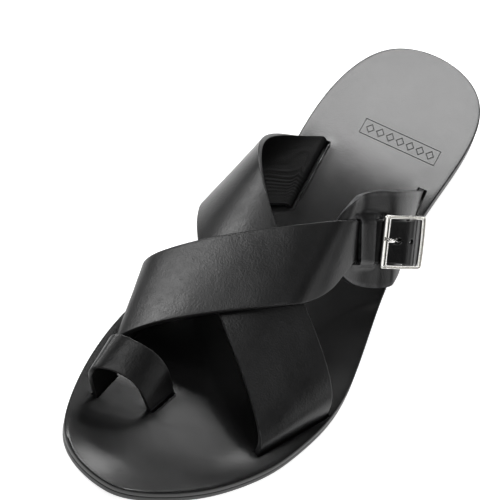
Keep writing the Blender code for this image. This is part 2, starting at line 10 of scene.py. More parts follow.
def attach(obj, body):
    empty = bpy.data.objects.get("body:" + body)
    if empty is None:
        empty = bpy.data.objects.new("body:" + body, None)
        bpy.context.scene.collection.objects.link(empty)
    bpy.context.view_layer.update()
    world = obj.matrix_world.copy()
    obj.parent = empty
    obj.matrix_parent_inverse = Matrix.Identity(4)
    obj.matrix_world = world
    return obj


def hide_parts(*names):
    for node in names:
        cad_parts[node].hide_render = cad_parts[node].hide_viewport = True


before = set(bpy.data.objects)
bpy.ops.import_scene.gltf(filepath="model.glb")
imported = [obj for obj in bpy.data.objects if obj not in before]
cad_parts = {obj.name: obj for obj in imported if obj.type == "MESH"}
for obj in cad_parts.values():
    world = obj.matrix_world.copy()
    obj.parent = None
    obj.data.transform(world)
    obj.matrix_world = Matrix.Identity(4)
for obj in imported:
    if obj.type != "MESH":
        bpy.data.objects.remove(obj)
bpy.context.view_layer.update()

# ------------------------------------------------------------------ sizes (mm), as in the CAD
SOLE_LENGTH = 287.0
HEEL_BACK_Y = 145.0
CENTRE_X, CENTRE_Y = -0.33, 1.5
OUTSOLE_T, PLY_GAP, INSOLE_T = 3.2, 0.3, 3.14
HEEL_LIFT = 9.0
ARCH_FROM, ARCH_TO = 185.0, 70.0
SPRING_FROM, SPRING_RISE = 215.0, 5.0
HEEL_BLOCK_LEN = 58.0
STRAP_T, TOE_T, TAB_T, TONGUE_T = 2.2, 2.0, 2.2, 1.9
TONGUE_HALF = 8.65
FRAME_U, FRAME_V, FRAME_MID_V = 20.8, 23.5, -0.4
FIRST_BAR, RAIL, LAST_BAR = 3.4, 1.6, 2.1
CENTRE_BAR_U, CENTRE_BAR_H, CENTRE_BAR_R = 13.3, 1.9, 0.9
HOLE_U, HOLE_V, HOLE2_U = 7.3, -1.2, 13.3
SKIN = 2.45
CLEAR = 0.4

BUCKLE_O = np.array([28.2, 17.3, 32.5])
BUCKLE_U = np.array([0.691, 0.689, -0.221])
BUCKLE_V = np.array([0.372, -0.600, -0.708])
U = BUCKLE_U / np.linalg.norm(BUCKLE_U)
V = BUCKLE_V - U * np.dot(BUCKLE_V, U)
V /= np.linalg.norm(V)
N = np.cross(U, V)
N = N if N[2] > 0 else -N

# s, inner edge x, outer edge x
SOLE_ROWS = [
    (10, -23.5, 23.8), (30, -32.5, 33.0), (50, -34.9, 35.1), (75, -34.0, 35.4),
    (100, -31.5, 36.1), (125, -31.1, 38.8), (150, -33.8, 43.9), (175, -40.0, 49.6),
    (190, -44.2, 51.8), (205, -47.1, 51.7), (220, -48.0, 49.1), (235, -47.2, 44.9),
    (250, -44.8, 37.6), (265, -40.6, 26.9), (277, -34.0, 14.0),
]
TOE_TIP_X = -8.0

# t, rear edge x y z, front edge x y z (outer skin)
STRAP_A = [
    (0.0, -23.0, 66.0, 16.0, -18.0, 25.0, 12.0),
    (0.1, -27.0, 63.0, 16.5, -36.5, 11.5, 13.0),
    (0.2, -33.0, 57.5, 19.0, -45.5, 4.0, 14.5),
    (0.3, -39.0, 46.5, 27.0, -47.5, 1.0, 17.0),
    (0.4, -39.0, 29.0, 40.0, -47.0, -6.0, 20.5),
    (0.5, -31.5, 12.0, 47.0, -38.0, -24.0, 25.5),
    (0.6, -16.5, -4.5, 45.5, -17.0, -47.5, 27.5),
    (0.7, 6.0, -23.5, 39.5, 9.0, -68.0, 23.5),
    (0.8, 32.0, -41.0, 29.0, 27.0, -82.0, 17.0),
    (0.9, 47.5, -52.0, 17.5, 34.5, -89.0, 11.5),
    (1.0, 50.0, -56.5, 7.0, 35.5, -91.5, 7.0),
]
STRAP_B = [
    (0.0, -38.0, -38.0, 7.0, -40.5, -77.0, 7.0),
    (0.1, -50.0, -42.0, 8.5, -42.5, -77.5, 7.5),
    (0.2, -52.0, -40.5, 16.5, -42.5, -78.0, 9.0),
    (0.3, -41.5, -33.0, 27.0, -38.0, -74.5, 14.0),
    (0.4, -23.0, -21.5, 38.0, -25.0, -65.0, 22.5),
    (0.5, -2.0, -9.0, 47.5, -4.0, -51.5, 32.0),
    (0.6, 13.0, 2.5, 51.0, 16.5, -37.0, 37.0),
    (0.7, 19.0, 10.0, 47.0, 28.5, -20.0, 28.0),
    (0.8, 22.5, 16.5, 42.0, 36.0, -5.5, 17.5),
    (0.9, 30.0, 25.0, 39.5, 44.0, 4.0, 13.5),
    (1.0, 40.5, 35.0, 36.0, 53.5, 13.0, 11.0),
]
TOE_LOOP = [
    (0.0, -34.5, -93.0, 8.0, -35.5, -108.0, 8.0),
    (0.167, -40.0, -92.0, 22.5, -39.5, -107.5, 18.5),
    (0.333, -38.0, -90.5, 30.5, -38.5, -106.5, 23.5),
    (0.5, -29.5, -89.0, 31.0, -32.0, -103.5, 24.5),
    (0.667, -20.5, -87.0, 27.5, -21.0, -101.0, 21.0),
    (0.833, -13.5, -86.0, 20.0, -14.0, -101.0, 13.0),
    (1.0, -9.0, -85.5, 7.0, -11.5, -100.0, 7.0),
]
TAB = [
    (0.0, 28.9, 69.0, 15.6, 34.4, 31.5, 12.0),
    (0.2, 29.9, 63.7, 21.0, 38.2, 28.8, 14.0),
    (0.4, 30.5, 57.4, 28.0, 40.4, 24.0, 16.2),
    (0.6, 29.8, 49.7, 35.5, 41.7, 19.3, 16.9),
    (0.75, 27.3, 41.6, 42.0, 42.3, 14.3, 17.0),
    (0.88, 24.2, 35.2, 46.0, 41.5, 10.4, 17.1),
    (1.0, 21.4, 31.9, 47.6, 37.3, 6.1, 17.3),
]
TONGUE = [
    (-20.0, 2.45), (-16.6, 2.45), (-14.7, 2.2), (-13.2, 1.45), (-11.8, 0.65), (-10.2, 0.15),
    (-7.0, 0.1), (-3.6, 0.1), (-1.8, 0.9), (-0.2, 1.9), (1.2, 2.3), (2.8, 2.45), (5.0, 3.3),
    (8.0, 4.9), (10.8, 5.9), (13.3, 6.1), (15.3, 5.2), (17.0, 3.5), (18.4, 2.0), (20.4, 0.8), (22.0, 0.2),
]
SHOULDER = [
    (0.0, 1.0), (0.60, 1.0), (0.616, 0.995), (0.647, 0.93), (0.668, 0.86), (0.69, 0.755),
    (0.705, 0.645), (0.727, 0.545), (0.744, 0.495), (0.77, 0.482), (1.08, 0.482),
]
D_CENTRE_U, D_LENGTH, D_HALF, D_MID_V = 2.0, 29.0, 21.45, -0.55
OPENING = (-17.5, 0.7, 10.1)
BRIDGE = (-10.8, -2.6)

# slot, rear end x y, front end x y, inner side, strap thickness, gap inside, gap outside
SLOTS = [
    ("a_inner", -23.0, 66.0, -18.0, 25.0, 1, STRAP_T, 1.25, 0.45),
    ("a_outer", 50.0, -56.5, 35.5, -91.5, -1, STRAP_T, 0.4, 1.0),
    ("b_inner", -38.0, -38.0, -40.5, -77.0, 1, STRAP_T, 0.9, 0.45),
    ("toe_inner", -34.5, -93.0, -35.5, -108.0, 1, TOE_T, 0.5, 0.6),
    ("toe_outer", -9.0, -85.5, -11.5, -100.0, -1, TOE_T, 0.7, 0.9),
    ("tab", 28.9, 69.0, 34.4, 31.5, -1, TAB_T, 0.5, 1.3),
]

# ------------------------------------------------------------------ camera
AZ, EL, DIST = math.radians(17.62), math.radians(52.59), 994.76
TARGET = np.array([-18.32 - CENTRE_X, -8.25 - CENTRE_Y, 15.0])
back = np.array([math.sin(AZ) * math.cos(EL), -math.cos(AZ) * math.cos(EL), math.sin(EL)])
flat_right = np.array([math.cos(AZ), math.sin(AZ), 0.0])
flat_up = np.cross(back, flat_right)
ROLL = math.radians(15.78)
cam_right = flat_right * math.cos(ROLL) + flat_up * math.sin(ROLL)
cam_up = np.cross(back, cam_right)
pos = (TARGET + back * DIST) * 0.001
cam = bpy.data.cameras.new("camera")
cam.sensor_width = 36.0
cam.lens = 2276.37 / 500 * 36.0
cam.clip_start = 0.05
cam_ob = bpy.data.objects.new("camera", cam)
bpy.context.scene.collection.objects.link(cam_ob)
cam_ob.matrix_world = Matrix((
    (cam_right[0], cam_up[0], back[0], pos[0]),
    (cam_right[1], cam_up[1], back[1], pos[1]),
    (cam_right[2], cam_up[2], back[2], pos[2]),
    (0, 0, 0, 1)))
bpy.context.scene.camera = cam_ob


# ------------------------------------------------------------------ helpers
def spline(table, q):
    tab = np.array(table, float)
    t, p = tab[:, 0], tab[:, 1:]
    n = len(t)
    h = np.diff(t)
    a = np.zeros((n, n))
    r = np.zeros((n, p.shape[1]))
    a[0, 0] = a[-1, -1] = 1.0
    for i in range(1, n - 1):
        a[i, i - 1], a[i, i], a[i, i + 1] = h[i - 1], 2 * (h[i - 1] + h[i]), h[i]
        r[i] = 6 * ((p[i + 1] - p[i]) / h[i] - (p[i] - p[i - 1]) / h[i - 1])
    m = np.linalg.solve(a, r)
    q = np.atleast_1d(np.asarray(q, float))
    k = np.clip(np.searchsorted(t, q) - 1, 0, n - 2)
    d0, d1 = (t[k + 1] - q)[:, None], (q - t[k])[:, None]
    hk = h[k][:, None]
    return (m[k] * d0 ** 3 + m[k + 1] * d1 ** 3) / (6 * hk) + \
        (p[k] / hk - m[k] * hk / 6) * d0 + (p[k + 1] / hk - m[k + 1] * hk / 6) * d1


def lift(y):
    s = HEEL_BACK_Y - np.asarray(y, float)
    t = np.clip((ARCH_FROM - s) / (ARCH_FROM - ARCH_TO), 0, 1)
    k = np.clip((s - SPRING_FROM) / 75.0, 0, 1)
    return HEEL_LIFT * t * t * (3 - 2 * t) + SPRING_RISE * k ** 1.8


def seat(y):
    return lift(y) + OUTSOLE_T + PLY_GAP + INSOLE_T


def sole_edges(theta):
    rows = [(0.0, 0.0, 0.0)]
    for s, xi, xo in SOLE_ROWS:
        rows.append((math.acos(1 - 2 * s / SOLE_LENGTH), xi, xo))
    rows.append((math.pi, TOE_TIP_X, TOE_TIP_X))
    x = spline(rows, theta)
    s = SOLE_LENGTH * (1 - np.cos(theta)) / 2
    return x[:, 0], x[:, 1], HEEL_BACK_Y - s


def place(p):
    q = np.array(p, float)
    q[..., 0] -= CENTRE_X
    q[..., 1] -= CENTRE_Y
    return q * 0.001


def unit(a):
    return a / np.maximum(np.linalg.norm(a, axis=-1, keepdims=True), 1e-9)


def add_mesh(name, verts, faces, mats, index=None, smooth=True):
    """One piece from points in millimetres; index gives each face's material."""
    mesh = bpy.data.meshes.new(name)
    mesh.from_pydata([tuple(v) for v in place(np.asarray(verts))], [], faces)
    for m in mats:
        mesh.materials.append(m)
    if index is not None:
        mesh.polygons.foreach_set("material_index", index)
    bm = bmesh.new()
    bm.from_mesh(mesh)
    bmesh.ops.recalc_face_normals(bm, faces=bm.faces)
    bm.to_mesh(mesh)
    bm.free()
    if smooth:
        mesh.shade_smooth()
    ob = bpy.data.objects.new(name, mesh)
    bpy.context.scene.collection.objects.link(ob)
    return ob


def wave(p, scale, seed=0.0):
    """Smooth unevenness from a few crossed sines, -1 to 1, p in mm."""
    x, y, z = p[..., 0] / scale, p[..., 1] / scale, p[..., 2] / scale
    a = np.sin(1.7 * x + 1.1 * y + 0.6 * z + seed) + np.sin(-0.9 * x + 2.3 * y + 1.4 * z + 1.7 * seed + 1.3)
    b = np.sin(3.1 * x - 1.9 * y + 2.2 * z + 0.7 * seed + 4.0) + np.sin(2.6 * x + 3.7 * y - 1.2 * z + 2.9 * seed)
    return (a + 0.6 * b) / 3.2


# ------------------------------------------------------------------ materials
def nodes_of(mat):
    mat.use_nodes = True
    nt = mat.node_tree
    nt.nodes.clear()
    out = nt.nodes.new("ShaderNodeOutputMaterial")
    bsdf = nt.nodes.new("ShaderNodeBsdfPrincipled")
    nt.links.new(bsdf.outputs[0], out.inputs[0])
    return nt, bsdf


def noise_node(nt, coord, scale, detail=3.0, rough=0.55, distortion=0.0):
    n = nt.nodes.new("ShaderNodeTexNoise")
    n.inputs["Scale"].default_value = scale
    n.inputs["Detail"].default_value = detail
    n.inputs["Roughness"].default_value = rough
    n.inputs["Distortion"].default_value = distortion
    nt.links.new(coord, n.inputs["Vector"])
    return n.outputs["Fac"]


def map_range(nt, value, a, b, c, d):
    n = nt.nodes.new("ShaderNodeMapRange")
    nt.links.new(value, n.inputs[0])
    for k, v in zip((1, 2, 3, 4), (a, b, c, d)):
        n.inputs[k].default_value = v
    return n.outputs[0]


def math_node(nt, op, a, b=None, clamp=False):
    n = nt.nodes.new("ShaderNodeMath")
    n.operation = op
    n.use_clamp = clamp
    for k, v in enumerate((a, b)):
        if v is None:
            continue
        if isinstance(v, (int, float)):
            n.inputs[k].default_value = v
        else:
            nt.links.new(v, n.inputs[k])
    return n.outputs[0]


def mix_colour(nt, fac, a, b):
    n = nt.nodes.new("ShaderNodeMix")
    n.data_type = "RGBA"
    if isinstance(fac, (int, float)):
        n.inputs[0].default_value = fac
    else:
        nt.links.new(fac, n.inputs[0])
    for k, v in ((6, a), (7, b)):
        if isinstance(v, tuple):
            n.inputs[k].default_value = (*v, 1)
        else:
            nt.links.new(v, n.inputs[k])
    return n.outputs[2]


def leather(name, dark, light, rough, grain=0.05, pore=0.9, streak=0.0, spec=0.5, sheen=0.0, wear=(0.05, 0.05, 0.052),
            cloud=1.0):
    """Smooth finished leather: fine pores, faint creases, cloudy tone, wear on edges."""
    mat = bpy.data.materials.new(name)
    nt, b = nodes_of(mat)
    tc = nt.nodes.new("ShaderNodeTexCoord")
    co = tc.outputs["Object"]
    # tone: broad clouds and small mottling
    broad = noise_node(nt, co, 28.0, 4.0, 0.6)
    fine = noise_node(nt, co, 420.0, 3.0, 0.6)
    tone = math_node(nt, "ADD", math_node(nt, "MULTIPLY", broad, 0.7), math_node(nt, "MULTIPLY", fine, 0.3))
    col = mix_colour(nt, map_range(nt, tone, 0.36, 0.66, 0.0, 1.0), dark, light)
    # pores: small cells, and a fine crackle between them
    vor = nt.nodes.new("ShaderNodeTexVoronoi")
    vor.feature = "SMOOTH_F1"
    vor.inputs["Scale"].default_value = 1000.0 / pore
    vor.inputs["Smoothness"].default_value = 0.6
    wob = nt.nodes.new("ShaderNodeVectorMath")
    wob.operation = "ADD"
    warp = nt.nodes.new("ShaderNodeTexNoise")
    warp.inputs["Scale"].default_value = 300.0
    nt.links.new(co, warp.inputs["Vector"])
    sc = nt.nodes.new("ShaderNodeVectorMath")
    sc.operation = "SCALE"
    sc.inputs["Scale"].default_value = 0.0012
    nt.links.new(warp.outputs["Color"], sc.inputs[0])
    nt.links.new(co, wob.inputs[0])
    nt.links.new(sc.outputs[0], wob.inputs[1])
    nt.links.new(wob.outputs[0], vor.inputs["Vector"])
    micro = noise_node(nt, co, 2600.0, 2.0, 0.6)
    crease = noise_node(nt, co, 120.0, 5.0, 0.65, 0.6)
    height = math_node(nt, "ADD", math_node(nt, "MULTIPLY", vor.outputs["Distance"], 0.55),
                       math_node(nt, "MULTIPLY", micro, 0.25))
    height = math_node(nt, "ADD", height, math_node(nt, "MULTIPLY", crease, 0.9))
    if streak:
        m = nt.nodes.new("ShaderNodeMapping")
        m.inputs["Scale"].default_value = (260.0, 26.0, 60.0)
        m.inputs["Rotation"].default_value = (0.0, 0.0, 0.5)
        nt.links.new(co, m.inputs["Vector"])
        s = nt.nodes.new("ShaderNodeTexNoise")
        s.inputs["Scale"].default_value = 1.0
        s.inputs["Detail"].default_value = 4.0
        nt.links.new(m.outputs[0], s.inputs["Vector"])
        height = math_node(nt, "ADD", height, math_node(nt, "MULTIPLY", s.outputs["Fac"], streak))
    bump = nt.nodes.new("ShaderNodeBump")
    bump.inputs["Strength"].default_value = 1.0
    bump.inputs["Distance"].default_value = grain * 0.001
    nt.links.new(height, bump.inputs["Height"])
    normal = bump.outputs[0]
    # wear along raised edges
    geo = nt.nodes.new("ShaderNodeNewGeometry")
    edge = map_range(nt, geo.outputs["Pointiness"], 0.53, 0.62, 0.0, 1.0)
    edge = math_node(nt, "MULTIPLY", edge, map_range(nt, fine, 0.35, 0.7, 0.2, 1.0))
    col = mix_colour(nt, edge, col, wear)
    rv = map_range(nt, broad, 0.3, 0.7, rough - 0.04 * cloud, rough + 0.05 * cloud)
    rv = math_node(nt, "ADD", rv, map_range(nt, fine, 0.3, 0.7, -0.03 * cloud, 0.03 * cloud))
    nt.links.new(col, b.inputs["Base Color"])
    nt.links.new(rv, b.inputs["Roughness"])
    nt.links.new(normal, b.inputs["Normal"])
    b.inputs["Specular IOR Level"].default_value = spec
    if sheen:
        b.inputs["Sheen Weight"].default_value = sheen
        b.inputs["Sheen Roughness"].default_value = 0.5
    return mat


def nickel(name, rough, tint):
    """Polished nickel plate with faint brushing and fine scratches."""
    mat = bpy.data.materials.new(name)
    nt, b = nodes_of(mat)
    tc = nt.nodes.new("ShaderNodeTexCoord")
    co = tc.outputs["Object"]
    cloudy = noise_node(nt, co, 180.0, 4.0, 0.6)
    m = nt.nodes.new("ShaderNodeMapping")
    m.inputs["Scale"].default_value = (3000.0, 300.0, 900.0)
    nt.links.new(co, m.inputs["Vector"])
    s = nt.nodes.new("ShaderNodeTexNoise")
    s.inputs["Scale"].default_value = 1.0
    s.inputs["Detail"].default_value = 3.0
    nt.links.new(m.outputs[0], s.inputs["Vector"])
    bump = nt.nodes.new("ShaderNodeBump")
    bump.inputs["Strength"].default_value = 0.6
    bump.inputs["Distance"].default_value = 0.000012
    nt.links.new(s.outputs["Fac"], bump.inputs["Height"])
    geo = nt.nodes.new("ShaderNodeNewGeometry")
    edge = map_range(nt, geo.outputs["Pointiness"], 0.53, 0.6, 0.0, 1.0)
    col = mix_colour(nt, map_range(nt, cloudy, 0.35, 0.65, 0.0, 1.0), tint, tuple(min(1.0, c * 1.08) for c in tint))
    col = mix_colour(nt, math_node(nt, "MULTIPLY", edge, 0.5), col, (0.9, 0.89, 0.87))
    nt.links.new(col, b.inputs["Base Color"])
    nt.links.new(map_range(nt, cloudy, 0.3, 0.7, rough - 0.03, rough + 0.05), b.inputs["Roughness"])
    nt.links.new(bump.outputs[0], b.inputs["Normal"])
    b.inputs["Metallic"].default_value = 1.0
    return mat


grain_mat = leather("strap_grain", (0.004, 0.004, 0.0042), (0.009, 0.009, 0.0095), 0.35, grain=0.092, pore=0.8, spec=0.5)
flesh_mat = leather("strap_flesh", (0.0033, 0.0033, 0.0033), (0.0066, 0.0066, 0.0066), 0.62, grain=0.10, pore=0.5, spec=0.14, sheen=0.0)
edge_mat = leather("strap_edge", (0.010, 0.010, 0.010), (0.020, 0.020, 0.021), 0.40, grain=0.05, pore=0.4, spec=0.5)
insole_mat = leather("insole_grain", (0.0035, 0.0035, 0.0036), (0.0070, 0.0070, 0.0072), 0.23, grain=0.03, pore=0.7, streak=0.25,
                     spec=0.5, cloud=0.4)
sole_edge_mat = leather("sole_edge", (0.007, 0.007, 0.007), (0.014, 0.014, 0.014), 0.42, grain=0.06, pore=0.35, streak=0.3, spec=0.45)
outsole_mat = leather("outsole_leather", (0.012, 0.0115, 0.011), (0.024, 0.023, 0.022), 0.5, grain=0.07, pore=0.6, streak=0.6, spec=0.45)
heel_mat = leather("heel_stack", (0.008, 0.0078, 0.0075), (0.016, 0.0155, 0.015), 0.5, grain=0.06, pore=0.4, streak=0.8, spec=0.45)
frame_mat = nickel("frame_nickel", 0.19, (0.82, 0.81, 0.78))
prong_mat = nickel("prong_nickel", 0.22, (0.84, 0.83, 0.81))


# ------------------------------------------------------------------ straps
def normals(grid):
    seg = unit(np.diff(grid, axis=0))
    d = unit(np.concatenate([seg[:1], seg[:-1] + seg[1:], seg[-1:]]))
    c = np.gradient(grid, axis=1)
    return unit(np.cross(d, c))


def soften(grid, first, last, cuts=3):
    """Round the bends of rows first..last by corner cutting, the same for every column."""
    for _ in range(cuts):
        rows = [grid[i] for i in range(first)]
        seg = grid[first - 1:last + 1] if first > 0 else grid[:last + 1]
        new = []
        for i in range(len(seg) - 1):
            a, b = seg[i], seg[i + 1]
            if i > 0 or first == 0:
                new.append(0.75 * a + 0.25 * b)
            if i < len(seg) - 2 or last >= len(grid) - 1:
                new.append(0.25 * a + 0.75 * b)
        rows += new + [grid[i] for i in range(last, len(grid))]
        count = len(new)
        grid = np.array(rows)
        last = first + count
    return grid


def rest_on_seat(grid, gap):
    th = np.linspace(0, math.pi, 400)
    xi, xo, y = sole_edges(th)
    inner = np.interp(-grid[..., 1], -y, xi) - 1.5
    outer = np.interp(-grid[..., 1], -y, xo) + 1.5
    over = (grid[..., 0] > inner) & (grid[..., 0] < outer)
    g = grid.copy()
    g[..., 2] = np.where(over, np.maximum(g[..., 2], seat(g[..., 1]) + gap), g[..., 2])
    return g


def into_slot(row):
    lip, foot = row.copy(), row.copy()
    lip[:, 2] = seat(row[:, 1]) - 0.8
    foot[:, 2] = lift(row[:, 1]) + OUTSOLE_T + 0.4
    return lip[None], foot[None]


def band(name, outer, thick, inward, mats, r_out=0.55, r_in=0.3, inner_bump=None, outer_bump=None):
    """Strap of real thickness with rounded edges. outer: rows x columns of the outer skin;
    inward: unit vectors to the inner skin; bumps push the skins out along their normals."""
    n, m = outer.shape[:2]
    thick = np.broadcast_to(np.asarray(thick, float), (n, m))
    d0 = unit(outer[:, 1] - outer[:, 0])          # from the rear edge inwards
    d1 = unit(outer[:, -1] - outer[:, -2])        # towards the front edge
    skin = outer - inward * (outer_bump if outer_bump is not None else np.zeros((n, m)))[..., None]
    flesh = outer + inward * (thick + (inner_bump if inner_bump is not None else 0.0))[..., None]
    loop, kind = [], []
    loop.append(skin[:, 0] + d0 * r_out)
    kind.append(0)
    for j in range(1, m - 1):
        loop.append(skin[:, j])
        kind.append(0)
    loop.append(skin[:, -1] - d1 * r_out)
    kind.append(1)
    e, nn, tt = skin[:, -1], inward[:, -1], thick[:, -1:]
    for a in (22.5, 45, 67.5, 90):
        a = math.radians(a)
        loop.append(e + d1 * (r_out * math.sin(a) - r_out) + nn * (r_out - r_out * math.cos(a)))
        kind.append(1)
    for a in (0, 45, 90):
        a = math.radians(a)
        loop.append(e + d1 * (r_in * math.cos(a) - r_in) + nn * (tt - r_in + r_in * math.sin(a)))
        kind.append(1 if a < 1.5 else 2)
    for j in range(m - 2, 0, -1):
        loop.append(flesh[:, j])
        kind.append(2)
    e, nn, tt = skin[:, 0], inward[:, 0], thick[:, :1]
    for a in (90, 45, 0):
        a = math.radians(a)
        loop.append(e - d0 * (r_in * math.cos(a) - r_in) + nn * (tt - r_in + r_in * math.sin(a)))
        kind.append(1)
    for a in (90, 67.5, 45, 22.5):
        a = math.radians(a)
        loop.append(e - d0 * (r_out * math.sin(a) - r_out) + nn * (r_out - r_out * math.cos(a)))
        kind.append(1)
    loop = np.stack(loop, axis=1)
    k = loop.shape[1]
    faces, index = [], []
    for i in range(n - 1):
        for j in range(k):
            jj = (j + 1) % k
            faces.append((i * k + j, i * k + jj, (i + 1) * k + jj, (i + 1) * k + j))
            index.append(kind[j])
    faces.append(tuple(range(k)))
    index.append(2)
    faces.append(tuple((n - 1) * k + j for j in range(k)))
    index.append(2)
    return add_mesh(name, loop.reshape(-1, 3), faces, mats, index)


def inwards(grid, down=None):
    nrm = normals(grid)
    if down is None:
        mid = grid.reshape(-1, 3).mean(axis=0)
        sign = np.sign(np.sum(nrm * (mid - grid)))
    else:
        sign = -np.sign(np.sum(nrm @ down))
    return nrm * sign


def strap_grid(table, rows, columns):
    p = spline(table, np.linspace(0, 1, rows))
    w = np.linspace(0, 1, columns)[None, :, None]
    grid = p[:, None, :3] * (1 - w) + p[:, None, 3:] * w
    grid = rest_on_seat(grid, CLEAR)
    lip0, foot0 = into_slot(grid[0])
    lip1, foot1 = into_slot(grid[-1])
    grid = np.concatenate([foot0, lip0, grid, lip1, foot1])
    n = len(grid)
    grid = soften(grid, n - 5, n - 1)
    return soften(grid, 1, 5)


COLS = 22
straps = []
# lower strap
COLS_A = 112
a_grid = strap_grid(STRAP_A, 130, COLS_A)
a_in = inwards(a_grid)
n = len(a_grid)
ti = np.linspace(0, 1, n)[:, None]
wi = np.linspace(0, 1, COLS_A)[None, :]
# flesh side: fine curved wrinkles where the strap turns out of its inner slot
zone = np.exp(-((ti - 0.14) / 0.13) ** 4) * np.exp(-((wi - 0.56) / 0.36) ** 4)
bend = -8.0 * np.sqrt(np.clip(ti, 0, 1) + 0.01) + 0.45 * np.sin(ti * 25 + 1.0 + 4 * wi) + 0.30 * np.sin(ti * 61 + 11 * wi)
turns = 11.0 * wi + 1.3 * np.sin(wi * 7.0 + 0.6) + bend + 0.55 * wave(a_grid, 13.0, 3.0)
rip = np.sin(2 * math.pi * turns) + 0.4 * np.sin(4.6 * math.pi * turns + 1.1 + 8 * ti)
a_flesh = 0.12 * zone * rip * np.clip(0.7 + 0.6 * wave(a_grid, 9.0, 7.0), 0.2, 1.25) + 0.05 * wave(a_grid, 5.0, 2.0)
a_skin = 0.10 * wave(a_grid, 14.0, 1.0) + 0.03 * wave(a_grid, 4.0, 3.0)
strap_a = band("strap_lower", a_grid, STRAP_T, a_in, [grain_mat, edge_mat, flesh_mat], inner_bump=a_flesh, outer_bump=a_skin)
straps.append(strap_a)


def local(u, v, h):
    u, v, h = (np.asarray(k, float)[..., None] for k in (u, v, h))
    return BUCKLE_O + U * u + V * v + N * h


def to_local(p):
    d = p - BUCKLE_O
    return d @ U, d @ V, d @ N


# upper strap with the tongue
fine_t = np.linspace(0.5, 1.07, 400)
pf = spline(STRAP_B, fine_t)
mid_u = to_local(pf[:, :3] * 0.76 + pf[:, 3:] * 0.24)[0]
t_rows = np.concatenate([np.linspace(0, np.interp(-30.0, mid_u, fine_t), 110, endpoint=False),
                         np.interp(np.linspace(-30.0, 22.0, 120), mid_u, fine_t)])
p = spline(STRAP_B, t_rows)
kn = np.array(SHOULDER)
share = np.interp(t_rows, kn[:, 0], kn[:, 1])
for _ in range(6):
    share[1:-1] = 0.25 * share[:-2] + 0.5 * share[1:-1] + 0.25 * share[2:]
grow = 0.022 * np.clip((t_rows - 0.74) / 0.05, 0, 1) + 0.022 * np.clip((np.interp(t_rows, fine_t, mid_u) - 11) / 4, 0, 1)
w = np.linspace(0, 1, COLS)[None, :] * (share + 2 * grow)[:, None] - grow[:, None]
b_grid = p[:, None, :3] * (1 - w[..., None]) + p[:, None, 3:] * w[..., None]
b_grid = rest_on_seat(b_grid, CLEAR)
gu, gv, gh = to_local(b_grid)
height = np.where(gu > -20.0, np.clip(spline(TONGUE, gu.ravel())[:, 0].reshape(gu.shape), -1, 7), SKIN)
b_grid = b_grid + np.where((t_rows > 0.6)[:, None], height - SKIN, 0.0)[..., None] * N
b_grid = b_grid - 0.27 * np.clip((t_rows - 0.66) / 0.08, 0, 1)[:, None, None] * V
nrm = normals(b_grid)
nrm = nrm * np.sign(nrm[..., 2:3].mean())
b_grid = b_grid + nrm * (0.45 * np.exp(-((t_rows - 0.45) / 0.14) ** 4))[:, None, None]
lip0, foot0 = into_slot(b_grid[0])
b_grid = np.concatenate([foot0, lip0, b_grid])
t_full = np.concatenate([[0, 0], t_rows])
grown = soften(b_grid, 1, 5)
t_full = np.concatenate([np.zeros(len(grown) - len(b_grid)), t_full])
b_grid = grown
b_in = inwards(b_grid)
b_thick = STRAP_T - (STRAP_T - TONGUE_T) * np.clip((t_full - 0.66) / 0.06, 0, 1)
b_skin = (0.12 * wave(b_grid, 15.0, 5.0) + 0.04 * wave(b_grid, 5.0, 6.0)) * np.clip((0.72 - t_full) / 0.06, 0, 1)[:, None]
strap_b = band("strap_upper", b_grid, b_thick[:, None], b_in, [grain_mat, edge_mat, flesh_mat], outer_bump=b_skin)
straps.append(strap_b)

# toe ring
c_grid = strap_grid(TOE_LOOP, 90, 14)
c_in = inwards(c_grid)
toe = band("toe_ring", c_grid, TOE_T, c_in, [grain_mat, edge_mat, flesh_mat], r_out=0.5,
           outer_bump=0.08 * wave(c_grid, 7.0, 4.0))


def prism(name, base, axis, half, mats=None):
    """Closed prism of a ring of points pushed both ways along an axis, in mm."""
    k = len(base)
    verts = np.concatenate([base - axis * half, base + axis * half])
    faces = [tuple(range(k)), tuple(range(2 * k - 1, k - 1, -1))]
    faces += [(i, (i + 1) % k, k + (i + 1) % k, k + i) for i in range(k)]
    return add_mesh(name, verts, faces, mats or [], smooth=False)


def cut(ob, cutter, op="DIFFERENCE"):
    """Apply one Boolean and drop the cutter."""
    mod = ob.modifiers.new("cut", "BOOLEAN")
    mod.operation = op
    mod.solver = "EXACT"
    mod.object = cutter
    dg = bpy.context.evaluated_depsgraph_get()
    mesh = bpy.data.meshes.new_from_object(ob.evaluated_get(dg))
    ob.modifiers.clear()
    old = ob.data
    ob.data = mesh
    mesh.name = old.name
    bpy.data.meshes.remove(old)
    bpy.data.objects.remove(cutter, do_unlink=True)


def tongue_h(u):
    return float(spline(TONGUE, u)[0, 0])


ang = np.linspace(0, 2 * math.pi, 28, endpoint=False)
oval = np.array([local(HOLE_U + 2.2 * math.cos(a), HOLE_V + 1.5 * math.sin(a), tongue_h(HOLE_U) - 1) for a in ang])
cut(strap_b, prism("c", oval, N, 4.5, [edge_mat]))
rnd = np.array([local(HOLE2_U + 1.0 * math.cos(a), HOLE_V + 1.0 * math.sin(a), tongue_h(HOLE2_U) - 1) for a in ang])
cut(strap_b, prism("c", rnd, N, 2.4, [edge_mat]))

# ------------------------------------------------------------------ tab with its bridge
ruling_r, ruling_f = to_local(pf[:, :3]), to_local(pf[:, 3:])


